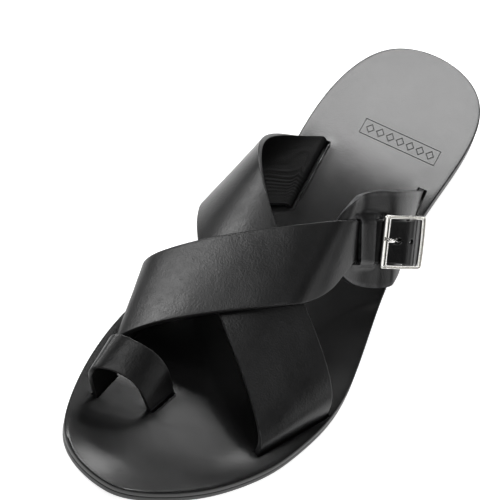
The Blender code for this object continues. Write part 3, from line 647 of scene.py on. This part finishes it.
def sheet_height(u, v):
    ww = (v - ruling_r[1]) / (ruling_f[1] - ruling_r[1])
    uu = ruling_r[0] + ww * (ruling_f[0] - ruling_r[0])
    hh = ruling_r[2] + ww * (ruling_f[2] - ruling_r[2])
    hh = hh - (SKIN + 0.15) * np.sqrt(1 + np.gradient(hh, uu) ** 2)
    flat = 1 - min(1.0, max(0.0, (u + 4.0) / 5.0))
    return float(np.interp(u, uu, hh)) * flat


def smooth01(x):
    x = np.clip(x, 0, 1)
    return x * x * (3 - 2 * x)


VH = OPENING[2]
inner_v = np.linspace(-VH, VH, 17)
outer_n = 9
p = spline(TAB, np.linspace(0, 1, 46))


def tab_columns(lo, hi):
    """v stations across the tab: fixed over the tongue's passage, squeezed outside it."""
    if (hi - lo) / 2 > VH + 1.2:
        left = np.linspace(lo, -VH, outer_n)[:-1]
        right = np.linspace(VH, hi, outer_n)[1:]
        return np.concatenate([left, inner_v, right])
    k = (hi - lo) / 2 / (VH + 1.2)
    mid = (hi + lo) / 2
    base = np.concatenate([np.linspace(-VH - 1.2, -VH, outer_n)[:-1], inner_v, np.linspace(VH, VH + 1.2, outer_n)[1:]])
    return mid + base * k


full_v = tab_columns(D_MID_V - D_HALF, D_MID_V + D_HALF)
share_w = (full_v - full_v[0]) / (full_v[-1] - full_v[0])
rows, tags = [], []
low = p[:, None, :3] * (1 - share_w[None, :, None]) + p[:, None, 3:] * share_w[None, :, None]
low = rest_on_seat(low, CLEAR)
lip0, foot0 = into_slot(low[0])
low = np.concatenate([foot0, lip0, low[:-1]])
u_lines = np.concatenate([np.linspace(2.0, OPENING[1], 3), np.linspace(OPENING[1], BRIDGE[1], 5)[1:],
                          np.linspace(BRIDGE[1], BRIDGE[0], 12)[1:], np.linspace(BRIDGE[0], OPENING[0], 9)[1:],
                          OPENING[0] - (D_LENGTH + OPENING[0] - D_CENTRE_U) * np.sin(np.linspace(0, math.pi / 2, 15))[1:] * 0.9985])
ncol = len(full_v)
d_rows = []
uv = []
for u in u_lines:
    q = min(0.9999, (D_CENTRE_U - u) / D_LENGTH)
    half = D_HALF * math.sqrt(max(0.0, 1 - q * q))
    vs = tab_columns(D_MID_V - half, D_MID_V + half)
    row = []
    for v in vs:
        k = smooth01(1 - max(0.0, abs(v) - 13.0) / 4.0)
        slant = 0.0
        if u <= BRIDGE[1] + 0.01:
            g = min(1.0, (BRIDGE[1] - u) / (BRIDGE[1] - BRIDGE[0]))
            slant = v * (0.06 + 0.06 * g) * float(k)
            if u < BRIDGE[0]:
                slant *= max(0.0, 1 - (BRIDGE[0] - u) / 5.0)
        elif u < OPENING[1]:
            slant = v * 0.06 * float(k) * (OPENING[1] - u) / (OPENING[1] - BRIDGE[1])
        row.append((u + slant, v))
    uv.append(row)
uv = np.array(uv)
base_h = np.array([[sheet_height(a, b) for a, b in row] for row in uv])


def bridge_h(v):
    return 3.15 * (1 - smooth01((abs(v) - 8.6) / 4.4)) + 0.1 * (1 - np.clip(abs(v) / 9, 0, 1) ** 2)


def along(u):
    """How much of the bow shows at u, beside the bridge as well as on it."""
    return smooth01((u - (BRIDGE[0] - 4.5)) / 4.5) * smooth01(((BRIDGE[1] + 3.2) - u) / 3.2) if not BRIDGE[0] <= u <= BRIDGE[1] else 1.0


verts, faces, index = [], [], []
grid_ids = {}
flat_rows = np.concatenate([low, local(uv[..., 0], uv[..., 1], base_h)])
n_low = len(low)
n_all = len(flat_rows)
i_b1 = n_low + int(np.argmin(abs(u_lines - BRIDGE[1])))
i_b0 = n_low + int(np.argmin(abs(u_lines - BRIDGE[0])))
i_o1 = n_low + int(np.argmin(abs(u_lines - OPENING[1])))
i_o0 = n_low + int(np.argmin(abs(u_lines - OPENING[0])))
j0, j1 = outer_n - 1, outer_n - 1 + len(inner_v) - 1
tab_pts = flat_rows.copy()
for i in range(n_low, n_all):
    for j in range(ncol):
        u, v = uv[i - n_low, j]
        line = u_lines[i - n_low]
        inside = j0 <= j <= j1
        k = along(line)
        if inside and not (i_b1 <= i <= i_b0):
            k = 0.0 if j0 < j < j1 else k
        tab_pts[i, j] = flat_rows[i, j] + N * float(bridge_h(v)) * float(k)
keep = np.ones((n_all - 1, ncol - 1), bool)
for i in range(n_all - 1):
    for j in range(ncol - 1):
        if j0 <= j < j1 and (i_o1 <= i < i_b1 or i_b0 <= i < i_o0):
            keep[i, j] = False
used = np.zeros((n_all, ncol), bool)
for i in range(n_all - 1):
    for j in range(ncol - 1):
        if keep[i, j]:
            used[i:i + 2, j:j + 2] = True
nrm = normals(tab_pts)
nrm = -nrm * np.sign(np.sum(nrm @ N))
ids_top = -np.ones((n_all, ncol), int)
ids_low = -np.ones((n_all, ncol), int)
for i in range(n_all):
    for j in range(ncol):
        if used[i, j]:
            ids_top[i, j] = len(verts)
            verts.append(tab_pts[i, j])
for i in range(n_all):
    for j in range(ncol):
        if used[i, j]:
            ids_low[i, j] = len(verts)
            verts.append(tab_pts[i, j] + nrm[i, j] * TAB_T)
for i in range(n_all - 1):
    for j in range(ncol - 1):
        if not keep[i, j]:
            continue
        a, b, c, d = (i, j), (i, j + 1), (i + 1, j + 1), (i + 1, j)
        faces.append(tuple(ids_top[k] for k in (a, b, c, d)))
        index.append(0)
        faces.append(tuple(ids_low[k] for k in (d, c, b, a)))
        index.append(2)
        for (di, dj), (e0, e1) in (((-1, 0), (a, b)), ((0, 1), (b, c)), ((1, 0), (c, d)), ((0, -1), (d, a))):
            ii, jj = i + di, j + dj
            if 0 <= ii < n_all - 1 and 0 <= jj < ncol - 1 and keep[ii, jj]:
                continue
            faces.append((ids_top[e1], ids_top[e0], ids_low[e0], ids_low[e1]))
            index.append(1)
tab = add_mesh("buckle_tab_leather", np.array(verts), faces, [grain_mat, edge_mat, flesh_mat], index)
bev = tab.modifiers.new("edges", "BEVEL")
bev.width = 0.00035
bev.segments = 3
bev.limit_method = "ANGLE"
bev.angle_limit = math.radians(50)
bev.use_clamp_overlap = True
bev.harden_normals = False

# chapes that hold the centre bar
tab_low = {}


def near_tab(u, v):
    q = local(u, v, 0.0)
    d = tab_pts.reshape(-1, 3) - q
    lat = d - (d @ N)[:, None] * N
    i = int(np.argmin(np.linalg.norm(lat, axis=1)))
    return float(d[i] @ N)


chapes = []
for nm, v0, v1 in (("chape_rear", -7.2, -3.6), ("chape_front", 3.6, 7.2)):
    prof = [(CENTRE_BAR_U + 1.95 * math.cos(a), CENTRE_BAR_H + 1.95 * math.sin(a)) for a in np.linspace(0, math.pi, 17)]
    prof_in = [(CENTRE_BAR_U + 1.2 * math.cos(a), CENTRE_BAR_H + 1.2 * math.sin(a)) for a in np.linspace(math.pi, 0, 17)]
    verts = []
    for v in (v0, v1):
        h_r = near_tab(CENTRE_BAR_U + 1.95, v) - 0.6
        h_l = near_tab(CENTRE_BAR_U - 1.95, v) - 0.6
        ring = [(CENTRE_BAR_U + 1.95, h_r)] + prof + [(CENTRE_BAR_U - 1.95, h_l), (CENTRE_BAR_U - 1.2, h_l)] + prof_in + \
            [(CENTRE_BAR_U + 1.2, h_r)]
        verts += [local(a, v, b) for a, b in ring]
    k = len(ring)
    faces = [tuple(range(k)), tuple(range(2 * k - 1, k - 1, -1))]
    faces += [(i, (i + 1) % k, k + (i + 1) % k, k + i) for i in range(k)]
    ob = add_mesh(nm, np.array(verts), faces, [grain_mat], smooth=False)
    ob.data.set_sharp_from_angle(angle=math.radians(40))
    ob.data.shade_smooth()
    ob.data.set_sharp_from_angle(angle=math.radians(40))
    chapes.append(ob)


# ------------------------------------------------------------------ sole plies
def ply(name, z0, z1, stations, columns, mats, r_top, r_low, top_bump=None, inset=0.0, side_bulge=0.0):
    th = np.linspace(0.022, math.pi - 0.022, stations)
    xi, xo, ys = sole_edges(th)
    c = np.linspace(0, 1, columns)
    left = np.stack([xi, ys], 1)
    right = np.stack([xo, ys], 1)
    rib0 = left[0] * (1 - c[1:-1, None]) + right[0] * c[1:-1, None]
    rib1 = left[-1] * (1 - c[1:-1, None]) + right[-1] * c[1:-1, None]
    loop = np.concatenate([left, rib1, right[::-1], rib0[::-1]])
    k = len(loop)
    tan = np.roll(loop, -1, 0) - np.roll(loop, 1, 0)
    tan = unit(tan)
    out = np.stack([tan[:, 1], -tan[:, 0]], 1)
    mid = loop.mean(0)
    if np.sum(out * (loop - mid)) < 0:
        out = -out
    for _ in range(3):
        out = unit(0.25 * np.roll(out, 1, 0) + 0.5 * out + 0.25 * np.roll(out, -1, 0))
    prof = []
    for a in (90, 67.5, 45, 22.5, 0):
        a = math.radians(a)
        prof.append((inset + r_top - r_top * math.cos(a), z1 - r_top + r_top * math.sin(a)))
    prof.append((inset - side_bulge, (z0 + z1) / 2))
    for a in (0, 30, 60, 90):
        a = math.radians(a)
        prof.append((inset + r_low - r_low * math.cos(a), z0 + r_low - r_low * math.sin(a)))
    verts, rings = [], []
    for step, z in prof:
        q = loop - out * step
        zz = lift(q[:, 1]) + z
        ring = np.concatenate([q, zz[:, None]], 1)
        rings.append(range(len(verts), len(verts) + k))
        verts += list(ring)
    faces, index = [], []
    for a in range(len(rings) - 1):
        for i in range(k):
            j = (i + 1) % k
            faces.append((rings[a][i], rings[a][j], rings[a + 1][j], rings[a + 1][i]))
            index.append(1 if a > 0 else 0)
    for ring, z, slot in ((rings[0], z1, 0), (rings[-1], z0, 2)):
        ring = list(ring)
        L = ring[:stations]
        R1 = ring[stations:stations + columns - 2]
        Rr = ring[stations + columns - 2:2 * stations + columns - 2][::-1]
        R0 = ring[2 * stations + columns - 2:][::-1]
        ids = [[0] * columns for _ in range(stations)]
        for i in range(stations):
            ids[i][0], ids[i][-1] = L[i], Rr[i]
        ids[0][1:-1] = R0
        ids[-1][1:-1] = R1
        for i in range(1, stations - 1):
            a, b = np.array(verts[L[i]]), np.array(verts[Rr[i]])
            for j in range(1, columns - 1):
                q = a * (1 - c[j]) + b * c[j]
                q[2] = lift(q[1]) + z
                if slot == 0 and top_bump is not None:
                    q[2] += top_bump(q)
                ids[i][j] = len(verts)
                verts.append(q)
        for i in range(stations - 1):
            for j in range(columns - 1):
                faces.append((ids[i][j], ids[i][j + 1], ids[i + 1][j + 1], ids[i + 1][j]))
                index.append(slot)
    return add_mesh(name, np.array(verts), faces, mats, index)


def slot_line(s):
    name, x0, y0, x1, y1, side, th, gi, go = s
    a, b = np.array([x0, y0]), np.array([x1, y1])
    d = (b - a) / np.linalg.norm(b - a)
    nn = np.array([-d[1], d[0]])
    nn = nn if nn[0] * side > 0 else -nn
    return a, b, d, nn, th, gi, go


edge_in, edge_out, edge_y = sole_edges(np.linspace(0.02, math.pi - 0.02, 300))
edge_y = -edge_y


def seat_shape(q):
    """Worn, slightly uneven insole: foot hollows, and lips raised along the strap slots."""
    x, y = q[0], q[1]
    z = 0.08 * float(wave(np.array([x, y, 0.0]), 26.0, 2.0)) + 0.02 * float(wave(np.array([x, y, 0.0]), 7.0, 4.0))
    # hollows trodden by the ball of the foot and the big toe
    lo, hi = float(np.interp(-y, edge_y, edge_in)), float(np.interp(-y, edge_y, edge_out))
    across = smooth01((x - lo - 3) / 14) * smooth01((hi - 3 - x) / 14)
    z -= 1.65 * float(across) * float(smooth01((-22 - y) / 42) if y > -64 else smooth01((y + 118) / 54))
    print_y = max(0.0, (-93 - y) / 35) ** 1.1 if y > -128 else 1.0 - 0.6 * float(smooth01((-128 - y) / 16))
    z -= 1.05 * math.exp(-((x + 20) / 13.5) ** 2) * print_y
    for s in SLOTS:
        a, b, d, nn, th, gi, go = slot_line(s)
        r = np.array([x, y]) - a
        t = np.dot(r, d)
        L = np.linalg.norm(b - a)
        e = np.dot(r, nn)
        end = smooth01((t + 3) / 4) * smooth01((L + 3 - t) / 4)
        if e > (th + gi) / 2:
            z += 0.35 * float(end) * math.exp(-((e - (th + gi) - 0.6) / 2.0) ** 2) * (1.0 if s[0] == "a_inner" else 0.35)
        else:
            z += 0.12 * float(end) * math.exp(-((e + go + 0.6) / 1.6) ** 2)
    return z


insole = ply("insole_leather", OUTSOLE_T + PLY_GAP, OUTSOLE_T + PLY_GAP + INSOLE_T, 190, 44,
             [insole_mat, sole_edge_mat, outsole_mat], 0.7, 0.35, seat_shape)
for s in SLOTS:
    a, b, d, nn, th, gi, go = slot_line(s)
    ln = np.linalg.norm(b - a)
    lo_, hi_ = -go, th + gi
    verts, ns = [], 14
    rings = 0
    flare = 0.35
    for k in range(ns):
        t = -0.4 + (ln + 0.8) * k / (ns - 1)
        q = a + d * t
        for e, zt in ((lo_, "low"), (lo_, "lip"), (lo_ - flare, "top"), (lo_ - flare, "sky"),
                      (hi_ + flare, "sky"), (hi_ + flare, "top"), (hi_, "lip"), (hi_, "low")):
            xy = q + nn * e
            base = float(seat(xy[1]))
            z = {"low": -6.0, "lip": base - 0.45, "top": base + 0.25, "sky": base + 8.0}[zt]
            verts.append((xy[0], xy[1], z))
        rings += 1
    faces = [tuple(range(8)), tuple((ns - 1) * 8 + i for i in range(7, -1, -1))]
    for k in range(ns - 1):
        for i in range(8):
            j = (i + 1) % 8
            faces.append((k * 8 + i, k * 8 + j, (k + 1) * 8 + j, (k + 1) * 8 + i))
    cutter = add_mesh("slot_cutter", np.array(verts), faces, [sole_edge_mat], smooth=False)
    cut(insole, cutter)

# a plain row of tooled lozenges in a border, pressed into the heel seat
tool_o = np.array([6.8, 87.0])
tool_x = np.array([0.9945, 0.1050])
tool_y = np.array([-0.1050, 0.9945])


def groove(centre, shape_out, shape_in, depth):
    verts = []
    for pts, z in ((shape_out, 0), (shape_in, 0), (shape_out, 1), (shape_in, 1)):
        for px, py in pts:
            q = centre + tool_x * px + tool_y * py
            verts.append((q[0], q[1], float(seat(q[1])) + (3.0 if z else -depth)))
    k = len(shape_out)
    out = []
    for i in range(k):
        j = (i + 1) % k
        out += [(i, j, k + j, k + i), (2 * k + i, 2 * k + j, 3 * k + j, 3 * k + i),
                (i, j, 2 * k + j, 2 * k + i), (k + i, k + j, 3 * k + j, 3 * k + i)]
    return verts, out


def lozenge(a, b):
    return [(a, 0), (0, b), (-a, 0), (0, -b)]


def oblong(a, b):
    return [(a, b), (-a, b), (-a, -b), (a, -b)]


verts, faces = [], []
parts = [(-15.0 + 5.0 * i, lozenge(2.15, 3.0), lozenge(1.55, 2.15)) for i in range(7)]
parts += [(0.0, oblong(19.0, 4.9), oblong(18.55, 4.45))]
for cx, so, si in parts:
    v_, f_ = groove(tool_o + tool_x * cx, so, si, 0.32)
    faces += [tuple(k + len(verts) for k in f) for f in f_]
    verts += v_
cut(insole, add_mesh("tool_cutter", np.array(verts), faces, [sole_edge_mat], smooth=False))
for poly in insole.data.polygons:
    n3 = poly.normal
    if abs(n3.z) < 0.8:
        poly.material_index = 1
insole.data.shade_smooth()
insole.data.set_sharp_from_angle(angle=math.radians(38))

outsole = ply("outsole_leather", 0.0, OUTSOLE_T, 170, 20, [sole_edge_mat, sole_edge_mat, outsole_mat], 0.35, 0.5)

# heel: two lifts with a fine groove between them, stepped in under the sole
th = np.linspace(0.10, math.acos(1 - 2 * HEEL_BLOCK_LEN / SOLE_LENGTH), 60)
hi, ho, hy = sole_edges(th)


def heel_loop(step, back):
    left = np.stack([hi, hy], 1)
    right = np.stack([ho, hy], 1)
    loop = np.concatenate([left, right[::-1]])
    tan = unit(np.roll(loop, -1, 0) - np.roll(loop, 1, 0))
    tan[0], tan[-1] = unit(loop[1] - loop[0]), unit(loop[-1] - loop[-2])
    m = len(left)
    tan[m - 1], tan[m] = unit(left[-1] - left[-2]), unit(right[-2] - right[-1])
    out = np.stack([tan[:, 1], -tan[:, 0]], 1)
    if np.sum(out * (loop - loop.mean(0))) < 0:
        out = -out
    q = loop - out * step
    q[m - 1, 1] = q[m, 1] = hy[-1] + back
    return q


prof = [(1.9, 8.7, 0.1), (1.6, 8.55, 0.0), (1.55, 8.2, 0.0), (2.1, 4.75, 0.9), (2.35, 4.55, 1.0), (2.35, 4.4, 1.0), (2.15, 4.2, 1.0),
        (2.75, 0.6, 1.8), (2.95, 0.2, 1.95), (3.3, 0.0, 2.3)]
verts, faces, index = [], [], []
k = 2 * len(hi)
for step, z, bk in prof:
    q = heel_loop(step, bk)
    verts += [(x, y, z) for x, y in q]
for a in range(len(prof) - 1):
    for i in range(k):
        j = (i + 1) % k
        faces.append((a * k + i, a * k + j, (a + 1) * k + j, (a + 1) * k + i))
m = len(hi)
for base in (0, (len(prof) - 1) * k):
    for i in range(m - 1):
        faces.append((base + i, base + i + 1, base + k - 2 - i, base + k - 1 - i))
heel = add_mesh("heel_lifts", np.array(verts), faces, [heel_mat])
heel.data.set_sharp_from_angle(angle=math.radians(50))


# ------------------------------------------------------------------ buckle
def rounded_rect(hu, hv, r, steps=8):
    pts = []
    for cu, cv, a0 in ((hu - r, hv - r, 0), (-(hu - r), hv - r, 90), (-(hu - r), -(hv - r), 180), (hu - r, -(hv - r), 270)):
        for k in range(steps + 1):
            a = math.radians(a0 + 90 * k / steps)
            pts.append((cu + r * math.cos(a), cv + r * math.sin(a)))
    return pts


def smooth_loop(pts, per=6):
    """Straight runs of a ring divided evenly, so it can bow."""
    out = []
    n = len(pts)
    for i in range(n):
        a, b = np.array(pts[i]), np.array(pts[(i + 1) % n])
        d = np.linalg.norm(b - a)
        k = max(1, int(d / 1.2)) if d > 2.5 else 1
        out += [tuple(a + (b - a) * j / k) for j in range(k)]
    return out


section = [(0.0, 0.3), (0.0, 1.45), (0.03, 1.72), (0.10, 1.9), (0.17, 1.93), (0.25, 1.84), (0.31, 1.5), (0.38, 0.95),
           (0.52, 0.9), (0.60, 1.38), (0.68, 1.56), (0.82, 1.62), (0.93, 1.54), (0.985, 1.32), (1.0, 1.05), (1.0, 0.3),
           (0.93, 0.06), (0.8, 0.0), (0.2, 0.0), (0.07, 0.06)]
ring_n = None
verts, faces = [], []
base_ring = smooth_loop(rounded_rect(1.0, 1.0, 0.2, 8))
rings = []
for inset, z in section:
    u0, u1 = FIRST_BAR * inset, FRAME_U - LAST_BAR * inset
    hu, hv = (u1 - u0) / 2, FRAME_V / 2 - RAIL * inset
    r = 1.35 - 0.85 * inset
    pts = []
    corner = rounded_rect(hu, hv, r, 8)
    n4 = len(corner)
    for i in range(n4):
        a, b = np.array(corner[i]), np.array(corner[(i + 1) % n4])
        runs = 10 if i % 9 == 8 else 1
        pts += [a + (b - a) * j / runs for j in range(runs)]
    row = []
    for du, dv in pts:
        uu = (u0 + u1) / 2 + du
        k = uu / (FRAME_U / 2) - 1
        bow = 0.35 * max(0.0, k) * (1 - (dv / hv) ** 2)
        arch = 0.45 * (1 - k * k) - 0.1 * (k + 1)
        row.append(local(uu + bow, FRAME_MID_V + dv, 2.75 + z + arch))
    rings.append(row)
    ring_n = len(row)
for row in rings:
    verts += row
for a in range(len(rings)):
    b = (a + 1) % len(rings)
    for i in range(ring_n):
        j = (i + 1) % ring_n
        faces.append((a * ring_n + i, a * ring_n + j, b * ring_n + j, b * ring_n + i))
buckle = add_mesh("buckle_frame_nickel", np.array(verts), faces, [frame_mat])
buckle.data.set_sharp_from_angle(angle=math.radians(45))


def tube(name, path, half_w, half_t, side, sides, mats):
    path = np.array(path, float)
    d = unit(np.gradient(path, axis=0))
    verts = []
    for k, (q, t) in enumerate(zip(path, d)):
        up = unit(np.cross(t, side))
        hw = half_w[k] if hasattr(half_w, "__len__") else half_w
        ht = half_t[k] if hasattr(half_t, "__len__") else half_t
        for i in range(sides):
            a = 2 * math.pi * (i + 0.5) / sides
            verts.append(q + side * hw * math.cos(a) + up * ht * math.sin(a))
    n = len(path)
    faces = [tuple(range(sides)), tuple((n - 1) * sides + i for i in range(sides - 1, -1, -1))]
    for k in range(n - 1):
        for i in range(sides):
            j = (i + 1) % sides
            faces.append((k * sides + i, k * sides + j, (k + 1) * sides + j, (k + 1) * sides + i))
    return add_mesh(name, np.array(verts), faces, mats)


bar_rows = [(0.0, -10.9, 3.9), (0.1, -10.8, 2.9), (0.2, -10.2, 2.1), (0.3, -9.2, 1.9), (0.5, 0.0, 1.9), (0.7, 9.2, 1.9),
            (0.8, 10.2, 2.1), (0.9, 10.8, 2.9), (1.0, 10.9, 3.9)]
bp = spline(bar_rows, np.linspace(0, 1, 60))
centre_bar = tube("buckle_centre_bar", [local(CENTRE_BAR_U, FRAME_MID_V + v, h) for v, h in bp], CENTRE_BAR_R, CENTRE_BAR_R, U, 18,
                  [frame_mat])

blade = [(0.0, 11.75, 2.3, 0.8, 0.45), (0.1, 10.4, 2.15, 0.9, 0.5), (0.2, 9.0, 2.15, 0.95, 0.5), (0.3, 7.9, 2.6, 0.95, 0.5),
         (0.4, 7.1, 3.4, 0.95, 0.5), (0.5, 6.5, 4.3, 0.95, 0.5), (0.6, 5.8, 5.1, 0.95, 0.5), (0.7, 4.9, 5.6, 0.95, 0.5),
         (0.8, 3.8, 5.78, 0.93, 0.48), (0.9, 2.7, 5.72, 0.88, 0.45), (0.97, 1.95, 5.6, 0.75, 0.38), (1.0, 1.7, 5.53, 0.35, 0.2)]
bl = spline(blade, np.linspace(0, 1, 60))
prong = tube("buckle_prong_nickel", [local(r[0], HOLE_V, r[1]) for r in bl], list(bl[:, 2]), list(bl[:, 3]), V, 16, [prong_mat])
ring_pts = []
verts, faces = [], []
for a in np.linspace(0, 2 * math.pi, 40, endpoint=False):
    for b in np.linspace(0, 2 * math.pi, 12, endpoint=False):
        r = 1.55 + 0.35 * math.cos(b)
        verts.append(local(CENTRE_BAR_U + r * math.cos(a), HOLE_V + 0.95 * math.sin(b), CENTRE_BAR_H + r * math.sin(a)))
for i in range(40):
    for j in range(12):
        faces.append((i * 12 + j, i * 12 + (j + 1) % 12, ((i + 1) % 40) * 12 + (j + 1) % 12, ((i + 1) % 40) * 12 + j))
prong_ring = add_mesh("prong_ring_nickel", np.array(verts), faces, [prong_mat])

# rolled lips where the knife came out of two slots
lips = []
for s, r_lip, lo_t, hi_t in ((SLOTS[0], 0.56, 0.5, 0.92), (SLOTS[4], 0.36, 0.5, 1.0)):
    a, b, d, nn, th, gi, go = slot_line(s)
    ln = np.linalg.norm(b - a)
    off = th + gi + 0.55 if s[0] == "a_inner" else -go - 0.5
    path = []
    radius = []
    for k in np.linspace(-0.01, hi_t, 60):
        q = a + d * (k * ln) + nn * off
        taper = smooth01((k + 0.02) / 0.08) * smooth01((hi_t + 0.01 - k) / 0.15)
        q3 = np.array([q[0], q[1], 0.0])
        path.append((q[0], q[1], float(seat(q[1])) + seat_shape(q) - 0.10 + 0.30 * float(taper)))
        radius.append(0.08 + r_lip * float(taper) * (1 + 0.12 * math.sin(k * 23)))
    lips.append(tube("slot_lip_" + s[0], path, radius, [v * 0.95 for v in radius], np.array([nn[0], nn[1], 0.0]), 14, [insole_mat]))

# ------------------------------------------------------------------ what stands for what
for ob in straps:
    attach(ob, "root")
    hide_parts("upper")
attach(toe, "root")
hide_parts("toe_loop")
for ob in [tab] + chapes:
    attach(ob, "root")
    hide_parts("buckle_tab")
for ob in lips:
    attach(ob, "root")
    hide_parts("insole")
for ob, node, slot in ((insole, "insole", "insole_leather"), (outsole, "outsole", "outsole_leather"), (heel, "heel", "heel_stack"),
                       (buckle, "buckle_frame", "nickel"), (centre_bar, "buckle_frame", "nickel"),
                       (prong, "buckle_prong", "nickel"), (prong_ring, "buckle_prong", "nickel")):
    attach(ob, "root")
    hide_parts(node)

# ------------------------------------------------------------------ floor and light
bpy.ops.mesh.primitive_plane_add(size=6.0, location=(0, 0, -0.0002))
floor = bpy.context.object
floor.name = "floor"
fm = bpy.data.materials.new("floor_paper")
nt, b = nodes_of(fm)
tc = nt.nodes.new("ShaderNodeTexCoord")
fc = noise_node(nt, tc.outputs["Object"], 3.0, 2.0)
nt.links.new(mix_colour(nt, fc, (0.80, 0.80, 0.80), (0.84, 0.84, 0.84)), b.inputs["Base Color"])
b.inputs["Roughness"].default_value = 0.9
b.inputs["Specular IOR Level"].default_value = 0.1
b.inputs["Emission Color"].default_value = (1, 1, 1, 1)
b.inputs["Emission Strength"].default_value = 0.86
floor.data.materials.append(fm)

world = bpy.data.worlds.new("studio")
bpy.context.scene.world = world
world.use_nodes = True
bg = world.node_tree.nodes["Background"]
bg.inputs[0].default_value = (1, 1, 1, 1)
bg.inputs[1].default_value = 0.045


def towards(azimuth, elevation):
    a_, e_ = math.radians(azimuth), math.radians(elevation)
    return Vector((math.cos(a_) * math.cos(e_), math.sin(a_) * math.cos(e_), math.sin(e_)))


def softbox(name, azimuth, elevation, size, energy, tall=None, away=1.5):
    """Soft light, facing the shoe."""
    light = bpy.data.lights.new(name, "AREA")
    light.energy = energy
    light.shape = "RECTANGLE"
    light.size = size
    light.size_y = tall or size
    ob = bpy.data.objects.new(name, light)
    d = towards(azimuth, elevation)
    ob.location = Vector((0, 0, 0.02)) + d * away
    ob.visible_camera = False
    ob.rotation_euler = (-d).to_track_quat("-Z", "Y").to_euler()
    bpy.context.scene.collection.objects.link(ob)


softbox("window", 108, 40, 0.40, 1.85, 0.16, away=0.56)
softbox("overhead", 90, 86, 1.2, 0.6)
softbox("left_box", 180, 35, 0.5, 7.2)
softbox("left_high", 205, 55, 0.5, 1.8)
softbox("front_box", 298, 60, 0.3, 2.3)
softbox("right_box", 30, 34, 0.5, 1.1)
softbox("right_low", 358, 22.5, 0.13, 0.08, away=0.29)

bpy.context.scene.view_settings.view_transform = "Standard"
bpy.context.scene.view_settings.look = "None"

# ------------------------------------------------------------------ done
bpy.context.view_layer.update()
